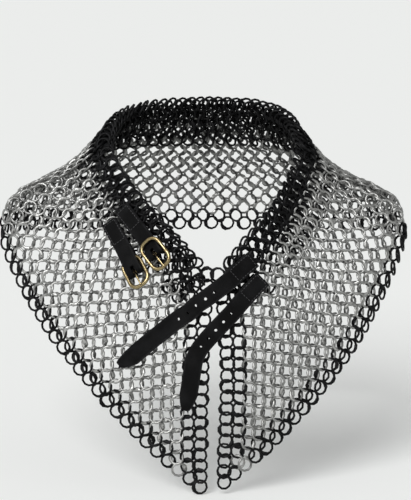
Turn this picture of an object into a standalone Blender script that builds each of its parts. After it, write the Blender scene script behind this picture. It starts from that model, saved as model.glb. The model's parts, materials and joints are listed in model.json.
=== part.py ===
"""A mail collar: a band of linked rings round the neck with two pointed lappets in front,
dark edging, two buckled straps on the right lappet and two long straps on the left one.

Metres, +Z up. The wearer faces -Y and the wearer's left is +X. The origin is the middle
of the neck opening, level with the sides of the neck.

A place on the mail is a column and a row of its weave. Columns run round the collar in
half steps of a ring, from 0 at the middle of the back, plus to the wearer's left. Rows run
from 0 at the rim to HEM_ROW at the hem. The front edges cut the weave on its diagonal.
"""
import math

import bpy
import numpy as np
from mathutils import Matrix, Vector

# Weave. Rows and columns count half rings.
RING_BORE = 0.009
WIRE = 0.0016
RING_TILT = math.radians(22)
HEM_ROW = 19
THROAT_COLUMN = 64
TIP_COLUMN = THROAT_COLUMN + HEM_ROW
SHOULDER_COLUMN = 30
MAIL_THICKNESS = 0.006
MAIL_RELIEF = 0.0027
RIDGE_COLUMN = 1.5
OPENING_COLUMNS = 2
OPENING_REPEAT_COLUMNS = 5
COLUMN_PITCH = 0.0050
ROW_PITCH = 0.0065
JOIN_GAP = 0.0003
MAIL_GAP = 0.00045
RIM_EDGING_ROWS = 3.5
RIM_START_ROW = -0.3
HEM_STRIP_ROWS = 1.5
OPEN_EDGE_ROWS = 0.65
FRONT_STRIP_COLUMNS = 3.0
FRONT_OPEN_COLUMNS = 0.95
TIP_JOIN_COLUMNS = 5
BACK_FACETS = 24
SIDE_FACETS = 18
FIELD_FACETS = 7
RIM_FACETS = 3
RING_SEGMENTS = 8
WIRE_SIDES = 3

# Rim of the neck opening
NECK_HALF_WIDTH = 0.077
NAPE_REACH = 0.060
NAPE_RISE = 0.025
THROAT_REACH = 0.074
THROAT_DROP = 0.095
RIM_PLACE_SHARES = (0, 0.266, 0.531, 0.64, 0.766, 0.875, 1, 1.297)
RIM_WIDTH_SHARES = (0, 0.74, 0.99, 0.87, 0.636, 0.388, 0.078, -0.864)
RIM_NAPE_REACH_SHARES = (1, 0.733, 0.117)
RIM_THROAT_REACH_SHARES = (0.284, 0.581, 0.811, 1, 1.216)
RIM_NAPE_RISE_SHARES = (1, 0.84, -0.04)
RIM_THROAT_DROP_SHARES = (0.232, 0.474, 0.7, 1, 1.758)

# Hem
SHOULDER_HALF_WIDTH = 0.1635
BACK_REACH = 0.102
BACK_DROP = 0.090
CHEST_REACH = 0.097
TIP_DROP = 0.260
HEM_PLACE_SHARES = (0, 0.205, 0.41, 0.47, 0.542, 0.651, 0.771, 0.892, 1)
HEM_WIDTH_SHARES = (0, 0.697, 1, 0.963, 0.873, 0.723, 0.523, 0.294, 0.068)
HEM_BACK_REACH_SHARES = (1, 0.784, 0.118)
HEM_CHEST_REACH_SHARES = (0.103, 0.34, 0.619, 0.814, 0.938, 1)
HEM_BACK_DROP_SHARES = (1, 0.956, 0.856)
HEM_TIP_DROP_SHARES = (0.363, 0.458, 0.587, 0.733, 0.881, 1)

# Fall of the mail between rim and hem, and how the front hangs
ROOT_ROW_SHARE = 0.37
BROW_ROW_SHARE = 0.79
ROOT_RISE = 0.002
BROW_RISE = 0.013
FALL_PLACE_SHARES = (0, 0.205, 0.41, 0.542, 0.675, 0.771, 1)
ROOT_RISE_SHARES = (0.5, 1, -0.5, -1, -0.5, 0, 0)
BROW_RISE_SHARES = (0.46, 0.69, 1, 0.69, 0.31, 0.08, 0)
FRONT_SHIFT = 0.007
LEFT_SWAY = 0.004
LEFT_LIFT = 0.004
LEFT_SAG = 0.004
SHIFT_START_SHARE = 0.36
SHIFT_RIM_END_SHARE = 0.675
SHIFT_HEM_END_SHARE = 1
SWAY_START_SHARE = 0.53
SAG_START_SHARE = 0.12
SAG_FULL_SHARE = 0.3
SAG_FADE_SHARE = 0.4
SWAY_END_SHARE = 0.77
SWAY_CREST = 6.75

# Straps. A place is a column and a row; each list starts at the stitched end.
LEATHER = 0.0018
STRAP_LEATHER = 0.0020
STRAP_WIDTH = 0.014
BUCKLE_STRAP_WIDTH = 0.013
LEATHER_EDGE = 0.0004
BACKING_LEATHER = 0.0018
BUCKLE_REACH = 0.028
FOOT_RISE = 0.0012
STITCHED_END = 0.021
POINT_LENGTH = 0.012
POINT_HALF_WIDTH = 0.0018
POINT_SECTION_SHARES = (1, 0.6, 0.3, 0.12, 0)
HOLE_RADIUS = 0.0011
HOLE_PITCH = 0.0088
HOLES = 5
UPPER_STRAP_PLACES = ((59.1, 1.8), (61.8, 1.4), (64.1, 1.2), (-66.6, 1.9), (-66.2, 3.1),
                      (-66, 4.5), (-65.5, 5.9), (-65, 8), (-64.5, 10.2), (-64.1, 12.6),
                      (-63.8, 14.9))
LOWER_STRAP_PLACES = ((60.2, 4), (63.1, 3.8), (65.2, 3.8), (67.1, 3.9), (68.8, 3.9),
                      (-70.5, 6.2), (-70.9, 7.8), (-71.8, 9.1), (-72.8, 10.4),
                      (-73.8, 11.8), (-74.6, 13))
UPPER_FIRST_HOLE = 0.0395
LOWER_FIRST_HOLE = 0.0366
UPPER_POINT_BIAS = 0.003
LOWER_POINT_BIAS = 0.0
UPPER_BUCKLE_PLACES = ((-46.9, 2.8), (-49.5, 2.82), (-52, 2.85), (-57.6, 2.92))
LOWER_BUCKLE_COLUMNS = (-46.9, -49.3, -51.5, -57.1)
LOWER_BUCKLE_SPACINGS = (0.0151, 0.0168, 0.0184, 0.0226)
HOLE_SIDES = 8
SECTION_LENGTH = 0.006
CURVE_SAMPLES = 400

# Buckles
BAR_RADIUS = 0.0012
FRAME_RADIUS = 0.00125
FRAME_LENGTH = 0.0275
FRAME_SIDE_GAP = 0.0004
FRAME_CORNER = 0.0065
BAR_HEIGHT = 0.0052
PLAY = 0.0003
UPPER_TILT = 0.0
LOWER_TILT = math.radians(8)
FOLD_PLACE_SHARES = (0, 0.41, 0.57, 0.69, 0.8, 0.91)
UPPER_FOLD_UNDER_SHARES = (0, 0, 0, 0.03, 0.13, 0.3)
UPPER_FOLD_OVER_SHARES = (0.69, 0.69, 0.69, 0.71, 1.2, 1.52)
LOWER_FOLD_UNDER_SHARES = (0, 0, 0, 0.03, 0.13, 0.3)
LOWER_FOLD_OVER_SHARES = (0.69, 1.08, 1.35, 1.47, 1.57, 1.64)
PRONG_RADIUS = 0.0009
PRONG_TIP_RADIUS = 0.0006
PRONG_OVERHANG = 0.0016
PRONG_LOOP_START = math.radians(-30)
SLOT_SIDE_GAP = 0.0006
SLOT_REACH = 0.005
CORNER_STEPS = 5
LOOP_STEPS = 8
FOLD_STEPS = 8
TUBE_SIDES = 8
BAR_SIDES = 12
OVERRUN = 0.001

STEEL = (0.62, 0.62, 0.60, 1.0)
BLACKENED = (0.016, 0.016, 0.017, 1.0)
BLACK_LEATHER = (0.012, 0.012, 0.013, 1.0)
BRASS = (0.60, 0.42, 0.16, 1.0)


def clear_scene():
    for item in list(bpy.data.objects):
        bpy.data.objects.remove(item, do_unlink=True)


def material(name, colour, roughness, metallic):
    made = bpy.data.materials.new(name)
    made.use_nodes = True
    shader = made.node_tree.nodes["Principled BSDF"]
    shader.inputs["Base Color"].default_value = colour
    shader.inputs["Roughness"].default_value = roughness
    shader.inputs["Metallic"].default_value = metallic
    made.diffuse_color = colour
    return made


def unit(vectors):
    return vectors / np.linalg.norm(vectors, axis=-1, keepdims=True)


def ease(start, end, value):
    """A smooth step from 0 at start to 1 at end."""
    t = np.clip((value - start) / (end - start), 0, 1)
    return t * t * (3 - 2 * t)


def along(places, values, wanted, level_start=True):
    """A smooth curve through the values at the places, level at the first, straight on past
    the last: cubic Hermite pieces with slopes taken from the neighbours."""
    places = np.asarray(places, float)
    values = np.asarray(values, float)
    slopes = np.empty_like(values)
    slopes[1:-1] = (values[2:] - values[:-2]) / (places[2:] - places[:-2])
    slopes[-1] = (values[-1] - values[-2]) / (places[-1] - places[-2])
    slopes[0] = 0 if level_start else (values[1] - values[0]) / (places[1] - places[0])
    piece = np.clip(np.searchsorted(places, wanted, side="right") - 1, 0, len(places) - 2)
    width = places[piece + 1] - places[piece]
    t = (wanted - places[piece]) / width
    s = np.clip(t, 0, 1)
    curve = ((2 * s ** 3 - 3 * s ** 2 + 1) * values[piece]
             + (s ** 3 - 2 * s ** 2 + s) * width * slopes[piece]
             + (3 * s ** 2 - 2 * s ** 3) * values[piece + 1]
             + (s ** 3 - s ** 2) * width * slopes[piece + 1])
    return curve + np.where(t > 1, (t - 1) * width * slopes[-1], 0)


def lengths(near, near_shares, far, far_shares):
    """Shares of one size, then shares of the next, as one row of lengths."""
    return np.concatenate([near * np.array(near_shares), far * np.array(far_shares)])


RIM_PLACES = THROAT_COLUMN * np.array(RIM_PLACE_SHARES)
RIM_X = NECK_HALF_WIDTH * np.array(RIM_WIDTH_SHARES)
RIM_Y = lengths(NAPE_REACH, RIM_NAPE_REACH_SHARES, -THROAT_REACH, RIM_THROAT_REACH_SHARES)
RIM_Z = lengths(NAPE_RISE, RIM_NAPE_RISE_SHARES, -THROAT_DROP, RIM_THROAT_DROP_SHARES)
HEM_PLACES = TIP_COLUMN * np.array(HEM_PLACE_SHARES)
HEM_X = SHOULDER_HALF_WIDTH * np.array(HEM_WIDTH_SHARES)
HEM_Y = lengths(BACK_REACH, HEM_BACK_REACH_SHARES, -CHEST_REACH, HEM_CHEST_REACH_SHARES)
HEM_Z = lengths(-BACK_DROP, HEM_BACK_DROP_SHARES, -TIP_DROP, HEM_TIP_DROP_SHARES)
FALL_PLACES = TIP_COLUMN * np.array(FALL_PLACE_SHARES)


def edge_line(places, x, y, z, column):
    """A point of the rim or hem line at each column, on the left half."""
    return np.stack([along(places, x, column, level_start=False),
                     along(places, y, column), along(places, z, column)], axis=-1)


def mail_point(column, row):
    """The middle of the mail at each column and row. The fall of a column is a cubic curve
    through its rim point, its root near the neck, its brow over the shoulder and its hem
    point; root and brow stand off the straight line from rim to hem."""
    column, row = np.broadcast_arrays(np.asarray(column, float), np.asarray(row, float))
    place = np.abs(column)
    step = 0.5
    rim = edge_line(RIM_PLACES, RIM_X, RIM_Y, RIM_Z, place)
    hem = edge_line(HEM_PLACES, HEM_X, HEM_Y, HEM_Z, place)
    onward = (edge_line(RIM_PLACES, RIM_X, RIM_Y, RIM_Z, place + step) - rim
              + edge_line(HEM_PLACES, HEM_X, HEM_Y, HEM_Z, place + step) - hem)
    outward = unit(np.cross(onward, hem - rim))
    root_rise = along(FALL_PLACES, ROOT_RISE * np.array(ROOT_RISE_SHARES), place)[..., None]
    brow_rise = along(FALL_PLACES, BROW_RISE * np.array(BROW_RISE_SHARES), place)[..., None]
    root = rim + ROOT_ROW_SHARE * (hem - rim) + root_rise * outward
    brow = rim + BROW_ROW_SHARE * (hem - rim) + brow_rise * outward
    knots = (0, ROOT_ROW_SHARE, BROW_ROW_SHARE, 1)
    points = (rim, root, brow, hem)
    slopes = ((root - rim) / ROOT_ROW_SHARE, (brow - rim) / BROW_ROW_SHARE,
              (hem - root) / (1 - ROOT_ROW_SHARE), (hem - brow) / (1 - BROW_ROW_SHARE))
    down = (row / HEM_ROW)[..., None]
    inside = np.clip(down, 0, 1)
    surface = np.zeros_like(rim)
    for k in range(3):
        width = knots[k + 1] - knots[k]
        s = np.clip((inside - knots[k]) / width, 0, 1)
        piece = ((2 * s ** 3 - 3 * s ** 2 + 1) * points[k]
                 + (s ** 3 - 2 * s ** 2 + s) * width * slopes[k]
                 + (3 * s ** 2 - 2 * s ** 3) * points[k + 1]
                 + (s ** 3 - s ** 2) * width * slopes[k + 1])
        here = (inside >= knots[k]) & ((inside < knots[k + 1]) | (k == 2))
        surface = np.where(here, piece, surface)
    surface = surface + np.minimum(down, 0) * slopes[0] + np.maximum(down - 1, 0) * slopes[3]
    left = column > 0
    share = place / TIP_COLUMN
    inside = inside[..., 0]
    shift_end = SHIFT_RIM_END_SHARE + (SHIFT_HEM_END_SHARE - SHIFT_RIM_END_SHARE) * inside
    sway = LEFT_SWAY * ease(SWAY_START_SHARE, SWAY_END_SHARE, share) * SWAY_CREST
    lift = LEFT_LIFT * ease(SWAY_START_SHARE, 1, share)
    sag = (LEFT_SAG * SWAY_CREST * ease(SAG_START_SHARE, SAG_FULL_SHARE, share)
           * ease(SWAY_START_SHARE, SAG_FADE_SHARE, share))
    surface[..., 0] *= np.where(left, 1, -1)
    surface[..., 0] += FRONT_SHIFT * ease(SHIFT_START_SHARE, shift_end, share)
    surface[..., 0] += np.where(left, sway * inside * (1 - inside) ** 2, 0)
    surface[..., 2] += np.where(left, lift * inside - sag * inside * (1 - inside) ** 2, 0)
    return surface


def mail_axes(column, row):
    """Unit vectors at a place on the mail: round the collar, down the column and outwards."""
    step = 0.25
    round_ = unit(mail_point(column + step, row) - mail_point(column - step, row))
    down = unit(mail_point(column, row + step) - mail_point(column, row - step))
    outward = unit(np.cross(round_, down))
    return round_, down, outward


def on_mail(column, row, height):
    """A point that stands off the outer face of the mail by a height."""
    column = np.asarray(column, float)
    row = np.asarray(row, float)
    outward = mail_axes(column, row)[2]
    return mail_point(column, row) + (MAIL_THICKNESS / 2 + JOIN_GAP + height) * outward


def add_object(name, vertices, faces, finish):
    mesh = bpy.data.meshes.new(name)
    mesh.from_pydata([tuple(point) for point in vertices], [], faces)
    mesh.materials.append(finish)
    mesh.shade_smooth()
    mesh.set_sharp_from_angle(angle=math.radians(40))
    made = bpy.data.objects.new(name, mesh)
    bpy.context.collection.objects.link(made)
    return made


def combine(target, tool, operation):
    """A Boolean on the target. The tool stays in the file as a hidden guide."""
    tool.hide_render = True
    tool.display_type = "WIRE"
    cut = target.modifiers.new(operation.title(), "BOOLEAN")
    cut.operation = operation
    cut.solver = "EXACT"
    cut.use_self = True
    cut.object = tool


def ridges(columns):
    """How high the weave stands at a column, from -1 in a valley to 1 on a ridge. A ridge runs
    down the mail at every second column, where the rings on both sides lean up to it."""
    return np.cos(math.pi * (columns - RIDGE_COLUMN))


def is_open(band, column):
    """Whether the part of a panel between two rows of its grid and past a column is open. The
    coarse grid of openings, each about as wide as a ring, stands for the open mesh."""
    return band % 2 == 1 and 1 <= math.floor(column) % OPENING_REPEAT_COLUMNS <= OPENING_COLUMNS


def slab(lines, rows, relief=0, side=1, openings=False):
    """A closed sheet of mail thickness. Each row has its own line of columns, counted from the
    middle of the back towards the given side, and its faces stand off the middle by the weave's
    relief. Where a line is longer than the one above it, a fan of faces closes the step. Walls
    close every edge of the sheet, those of the openings too."""
    columns = side * np.concatenate(lines)
    rows = np.repeat(rows, [len(line) for line in lines])
    middle = mail_point(columns, rows)
    outward = mail_axes(columns, rows)[2]
    wave = ridges(columns)[:, None]
    over = (MAIL_THICKNESS - relief * (1 - wave)) / 2
    under = (MAIL_THICKNESS - relief * (1 + wave)) / 2
    vertices = np.concatenate([middle + over * outward, middle - under * outward])
    count = len(columns)
    ends = np.cumsum([len(line) for line in lines])
    index = [list(range(end - len(line), end)) for line, end in zip(lines, ends)]
    top = []
    for band, (above, below) in enumerate(zip(index, index[1:])):
        last = len(above) - 1
        for k in range(last):
            if not (openings and k < last - 1 and is_open(band, lines[band][k])):
                top.append((above[k], above[k + 1], below[k + 1], below[k]))
        for k in range(last, len(below) - 1):
            top.append((above[-1], below[k + 1], below[k]))
    faces = top + [tuple(count + corner for corner in face[::-1]) for face in top]
    edges = {(a, b) for face in top for a, b in zip(face, face[1:] + face[:1])}
    for a, b in sorted(edges):
        if (b, a) not in edges:
            faces.append((b, a, count + a, count + b))
    if side < 0:
        faces = [face[::-1] for face in faces]
    return vertices, faces


def even_lines(start, end, rows, facets):
    """Lines of evenly spaced columns. Start and end give the first and last column of a row."""
    share = np.linspace(0, 1, facets + 1)
    return [start(row) + share * (end(row) - start(row)) for row in rows], rows


def woven_lines(start, end, rows):
    """Lines of columns that follow the ridges and valleys of the weave between both ends."""
    lines = []
    for row in rows:
        first, last = start(row), end(row)
        between = np.arange(math.floor(first) + RIDGE_COLUMN % 1, last, 1)
        lines.append(np.concatenate([[first], between[between > first], [last]]))
    return lines, rows


def ring(column, row, flip):
    """One ring of the weave, as a round wire on a circle. Its plane holds the column's
    direction and turns about it by the tilt, one way in even columns and back in odd ones."""
    round_, down, outward = mail_axes(float(column), float(row))
    turn = RING_TILT * flip
    side = math.cos(turn) * round_ + math.sin(turn) * outward
    square = np.cross(down, side)
    centre = mail_point(float(column), float(row))
    radius = (RING_BORE + WIRE) / 2
    angle = 2 * math.pi * np.arange(RING_SEGMENTS)[:, None] / RING_SEGMENTS
    facet = 2 * math.pi * np.arange(WIRE_SIDES)[None, :] / WIRE_SIDES
    spoke = np.cos(angle)[..., None] * down + np.sin(angle)[..., None] * side
    reach = (radius + WIRE / 2 * np.cos(facet))[..., None]
    vertices = centre + reach * spoke + (WIRE / 2 * np.sin(facet))[..., None] * square
    return vertices.reshape(-1, 3)


def ring_faces(first):
    faces = []
    for i in range(RING_SEGMENTS):
        for k in range(WIRE_SIDES):
            onward = (i + 1) % RING_SEGMENTS
            beside = (k + 1) % WIRE_SIDES
            faces.append((first + i * WIRE_SIDES + k, first + i * WIRE_SIDES + beside,
                          first + onward * WIRE_SIDES + beside, first + onward * WIRE_SIDES + k))
    return faces


def add_edging(name, grid, side, places, finish):
    """An edging: a strip of close mail and the open row of rings that hangs in its links.
    Each ring's inner side lies in the strip, which is the row of links it passes through."""
    vertices, faces = slab(*grid, side=side)
    strip = add_object(name, vertices, faces, finish)
    points = []
    ring_sides = []
    for column, row in places:
        ring_sides += ring_faces(len(points))
        points += list(ring(column, row, 1 if round(column) % 2 else -1))
    rings = add_object(name + "_ring_guide", points, ring_sides, finish)
    combine(strip, rings, "UNION")
    return strip


def add_mail(steel, blackened):
    """The field of mail and its dark edging, in three panels that meet at the shoulders. The
    functions of a row give the columns where a panel or strip starts and ends there."""
    gap_columns = MAIL_GAP / COLUMN_PITCH
    gap_rows = MAIL_GAP / ROW_PITCH
    field_top = RIM_EDGING_ROWS + gap_rows
    strip_top = HEM_ROW - HEM_STRIP_ROWS
    field_bottom = strip_top - gap_rows
    strip_bottom = HEM_ROW - OPEN_EDGE_ROWS
    tip_join = TIP_COLUMN - TIP_JOIN_COLUMNS
    front = {"right": -1, "left": 1}

    def back_start(row):
        return -SHOULDER_COLUMN

    def back_end(row):
        return SHOULDER_COLUMN

    def shoulder(row):
        return SHOULDER_COLUMN + gap_columns

    def strip_inside(row):
        return min(THROAT_COLUMN - FRONT_STRIP_COLUMNS + row, tip_join)

    def field_front(row):
        return strip_inside(row) - gap_columns

    def strip_outside(row):
        return THROAT_COLUMN + row - (FRONT_OPEN_COLUMNS if row < strip_bottom else 0)

    def parity(columns, row):
        return [(c, row) for c in columns if (c + row) % 2 == 0]

    rim_rows = np.linspace(RIM_START_ROW, RIM_EDGING_ROWS, RIM_FACETS + 1)
    field_rows = np.linspace(field_top, field_bottom, FIELD_FACETS + 1)
    hem_rows = np.array((strip_top, strip_bottom))
    field = woven_lines(back_start, back_end, field_rows)
    add_object("mail_back", *slab(*field, MAIL_RELIEF, openings=True), steel)
    rim = even_lines(back_start, back_end, rim_rows, BACK_FACETS)
    add_object("rim_edging_back", *slab(*rim), blackened)
    hem = even_lines(back_start, back_end, hem_rows, BACK_FACETS)
    inset = range(1 - SHOULDER_COLUMN, SHOULDER_COLUMN)
    add_edging("hem_edging_back", hem, 1, parity(inset, HEM_ROW), blackened)
    for name, side in front.items():
        field = woven_lines(shoulder, field_front, field_rows)
        add_object("mail_" + name, *slab(*field, MAIL_RELIEF, side, True), steel)
        rim = even_lines(shoulder, field_front, rim_rows, SIDE_FACETS)
        add_object("rim_edging_" + name, *slab(*rim, side=side), blackened)
        hem = even_lines(shoulder, field_front, hem_rows, SIDE_FACETS)
        hanging = [side * c for c in range(SHOULDER_COLUMN + 1, tip_join)]
        add_edging("hem_edging_" + name, hem, side, parity(hanging, HEM_ROW), blackened)
        places = [(side * (THROAT_COLUMN + row), row) for row in range(HEM_ROW)]
        tip = [side * c for c in range(tip_join + 1, TIP_COLUMN + 1)]
        places += parity(tip, HEM_ROW)
        front_rows = np.concatenate([rim_rows, field_rows, hem_rows])
        strip = even_lines(strip_inside, strip_outside, front_rows, 1)
        add_edging("front_edging_" + name, strip, side, places, blackened)


def curve_through(points, normals):
    """A smooth curve through points, as dense samples of place, normal and length so far."""
    points = np.asarray(points)
    chords = np.linalg.norm(np.diff(points, axis=0), axis=1)
    places = np.concatenate([[0], np.cumsum(chords)])
    dense = np.linspace(0, places[-1], CURVE_SAMPLES)
    line = np.stack([along(places, points[:, k], dense, level_start=False)
                     for k in range(3)], axis=-1)
    faced = np.stack([along(places, normals[:, k], dense, level_start=False)
                      for k in range(3)], axis=-1)
    steps = np.linalg.norm(np.diff(line, axis=0), axis=1)
    return line, unit(faced), np.concatenate([[0], np.cumsum(steps)])


def strap_curve(places, height):
    columns = np.array([place[0] for place in places], float)
    rows = np.array([place[1] for place in places], float)
    return curve_through(on_mail(columns, rows, height), mail_axes(columns, rows)[2])


def frames_at(curve, lengths_along):
    """Place, direction, normal and side vectors at lengths along a curve."""
    line, faced, so_far = curve
    wanted = np.asarray(lengths_along, float)

    def sample(values, where):
        return np.stack([np.interp(where, so_far, values[:, k]) for k in range(3)], axis=-1)

    ahead = unit(sample(line, wanted + OVERRUN) - sample(line, wanted - OVERRUN))
    normal = sample(faced, wanted)
    normal = unit(normal - (normal * ahead).sum(-1, keepdims=True) * ahead)
    return sample(line, wanted), ahead, normal, np.cross(normal, ahead)


def ribbon(curve, start, end, half_left, half_right, thickness):
    """A flat strip along part of a curve, with broken edges. The half widths to the two
    sides are functions of the length along the curve."""
    count = max(2, round((end - start) / SECTION_LENGTH))
    lengths_along = np.linspace(start, end, count + 1)
    if end >= curve[2][-1]:
        tail = end - POINT_LENGTH * np.array(POINT_SECTION_SHARES)
        lengths_along = np.concatenate([lengths_along[lengths_along < tail[0]], tail])
    place, _, normal, side = frames_at(curve, lengths_along)
    vertices = []
    for k, length in enumerate(lengths_along):
        left, right = half_left(length), half_right(length)
        edge = LEATHER_EDGE
        section = ((-right, edge), (edge - right, 0), (left - edge, 0), (left, edge),
                   (left, thickness - edge), (left - edge, thickness),
                   (edge - right, thickness), (-right, thickness - edge))
        vertices += [place[k] + b * side[k] + h * normal[k] for b, h in section]
    return np.array(vertices), tube_faces(len(lengths_along), 8)


def tube_faces(sections, sides, closed=False):
    """Faces of a tube whose sections turn left as seen from its far end."""
    faces = []
    for i in range(sections if closed else sections - 1):
        onward = (i + 1) % sections * sides
        here = i * sides
        for k in range(sides):
            beside = (k + 1) % sides
            faces.append((here + k, here + beside, onward + beside, onward + k))
    if not closed:
        last = (sections - 1) * sides
        faces.append(tuple(range(sides - 1, -1, -1)))
        faces.append(tuple(last + k for k in range(sides)))
    return faces


def full_width(half):
    return lambda length: half


def pointed(total, half, bias):
    """Half width towards one side of a strap that narrows to a point at its end."""
    def width(length):
        left_over = max(total - length, 0)
        share = min(left_over / POINT_LENGTH, 1)
        return POINT_HALF_WIDTH + bias + (half - POINT_HALF_WIDTH - bias) * math.sqrt(share)
    return width


def places_below(places, columns, spacings):
    """Places of a strap that lies below another, at spacings measured down the mail."""
    known = np.array(places)
    columns = np.array(columns)
    rows = np.interp(-columns, -known[:, 0], known[:, 1])
    reach = mail_point(columns, rows + 1) - mail_point(columns, rows)
    rows = rows + np.array(spacings) / np.linalg.norm(reach, axis=-1)
    return list(zip(columns, rows))


def add_ribbon(name, curve, start, end, half_left, half_right, thickness, finish):
    vertices, faces = ribbon(curve, start, end, half_left, half_right, thickness)
    return add_object(name, vertices, faces, finish)


def put_origin(item, origin):
    """Moves an object's origin onto its joint and leaves its surface where it is."""
    item.data.transform(Matrix.Translation(-Vector(origin)))
    item.location = Vector(origin)


def cylinder(name, centre, axis, radius, length, sides, finish):
    axis = Vector(axis).normalized()
    across = axis.orthogonal().normalized()
    beside = axis.cross(across)
    vertices = []
    for end in (-length / 2, length / 2):
        for k in range(sides):
            turn = 2 * math.pi * k / sides
            spoke = math.cos(turn) * across + math.sin(turn) * beside
            vertices.append(Vector(centre) + end * axis + radius * spoke)
    return add_object(name, vertices, tube_faces(2, sides), finish)


def add_backing(name, places, width, finish):
    """The patch behind the mail that the stitches of a strap's end go through."""
    depth = -(MAIL_THICKNESS + 2 * JOIN_GAP + BACKING_LEATHER)
    curve = strap_curve(places, depth)
    half = full_width(width / 2)
    return add_ribbon(name, curve, 0, STITCHED_END, half, half, BACKING_LEATHER, finish)


def add_long_strap(name, places, first_hole, bias, leather):
    """A strap with punched holes and a pointed end. Its stitched end stays on the mail and
    the rest lifts at the last stitch."""
    curve = strap_curve(places, 0)
    total = curve[2][-1]
    half = STRAP_WIDTH / 2
    add_ribbon(name + "_stitched_end", curve, 0, STITCHED_END - JOIN_GAP / 2,
               full_width(half), full_width(half), STRAP_LEATHER, leather)
    free = add_ribbon(name, curve, STITCHED_END + JOIN_GAP / 2, total,
                      pointed(total, half, -bias), pointed(total, half, bias),
                      STRAP_LEATHER, leather)
    reach = np.array([first_hole + k * HOLE_PITCH for k in range(HOLES)])
    places_at, _, normal, _ = frames_at(curve, reach)
    for k in range(HOLES):
        centre = places_at[k] + STRAP_LEATHER / 2 * normal[k]
        punch = cylinder(f"{name}_punch_guide_{k + 1}", centre, normal[k], HOLE_RADIUS,
                         2 * STRAP_LEATHER, HOLE_SIDES, leather)
        combine(free, punch, "DIFFERENCE")
    place, _, normal, _ = frames_at(curve, [STITCHED_END])
    put_origin(free, place[0] + STRAP_LEATHER * normal[0])


def frame_path():
    """The centre line of a buckle's frame: a rounded oblong, along and across the strap."""
    reach = FRAME_LENGTH / 2 - FRAME_RADIUS - FRAME_CORNER
    side = BUCKLE_STRAP_WIDTH / 2 + FRAME_SIDE_GAP + FRAME_RADIUS - FRAME_CORNER
    path = []
    corners = ((1, 1, 0), (-1, 1, 1), (-1, -1, 2), (1, -1, 3))
    for sign_along, sign_across, quarter in corners:
        for k in range(CORNER_STEPS + 1):
            turn = math.pi / 2 * (quarter + k / CORNER_STEPS)
            path.append((sign_along * reach + FRAME_CORNER * math.cos(turn),
                         sign_across * side + FRAME_CORNER * math.sin(turn), 0))
    return path


def tube(path, radii, sides, closed):
    """A round wire along a path that keeps to one plane, or turns about one axis."""
    path = np.asarray(path, float)
    if closed:
        ahead = unit(np.roll(path, -1, axis=0) - np.roll(path, 1, axis=0))
    else:
        ahead = unit(np.gradient(path, axis=0))
    plane = np.cross(path[1] - path[0], path[len(path) // 3] - path[0])
    upright = plane / np.linalg.norm(plane)
    beside = np.cross(upright, ahead)
    turn = 2 * math.pi * (np.arange(sides) + 0.5) / sides
    spokes = (np.cos(turn)[None, :, None] * beside[:, None, :]
              + np.sin(turn)[None, :, None] * upright[None, None, :])
    radii = np.broadcast_to(radii, len(path))
    vertices = path[:, None, :] + radii[:, None, None] * spokes
    return vertices.reshape(-1, 3), tube_faces(len(path), sides, closed)


def moved(vertices, matrix):
    return [matrix @ Vector(point) for point in vertices]


def fold_outline(under_shares, over_shares):
    """The side view of a buckle strap from its last stitch to the fold round the bar."""
    reach = BUCKLE_REACH
    under = [(reach * x, BAR_HEIGHT * h) for x, h in zip(FOLD_PLACE_SHARES, under_shares)]
    over = [(reach * x, BAR_HEIGHT * h) for x, h in zip(FOLD_PLACE_SHARES, over_shares)]
    under[0] = (JOIN_GAP / 2, under[0][1])
    over[0] = (JOIN_GAP / 2, over[0][1])
    radius = BAR_RADIUS + PLAY + LEATHER
    fold = []
    for k in range(FOLD_STEPS + 1):
        turn = math.pi * (k / FOLD_STEPS - 0.5)
        fold.append((reach + radius * math.cos(turn), BAR_HEIGHT + radius * math.sin(turn)))
    return under + fold + over[::-1]


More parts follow.
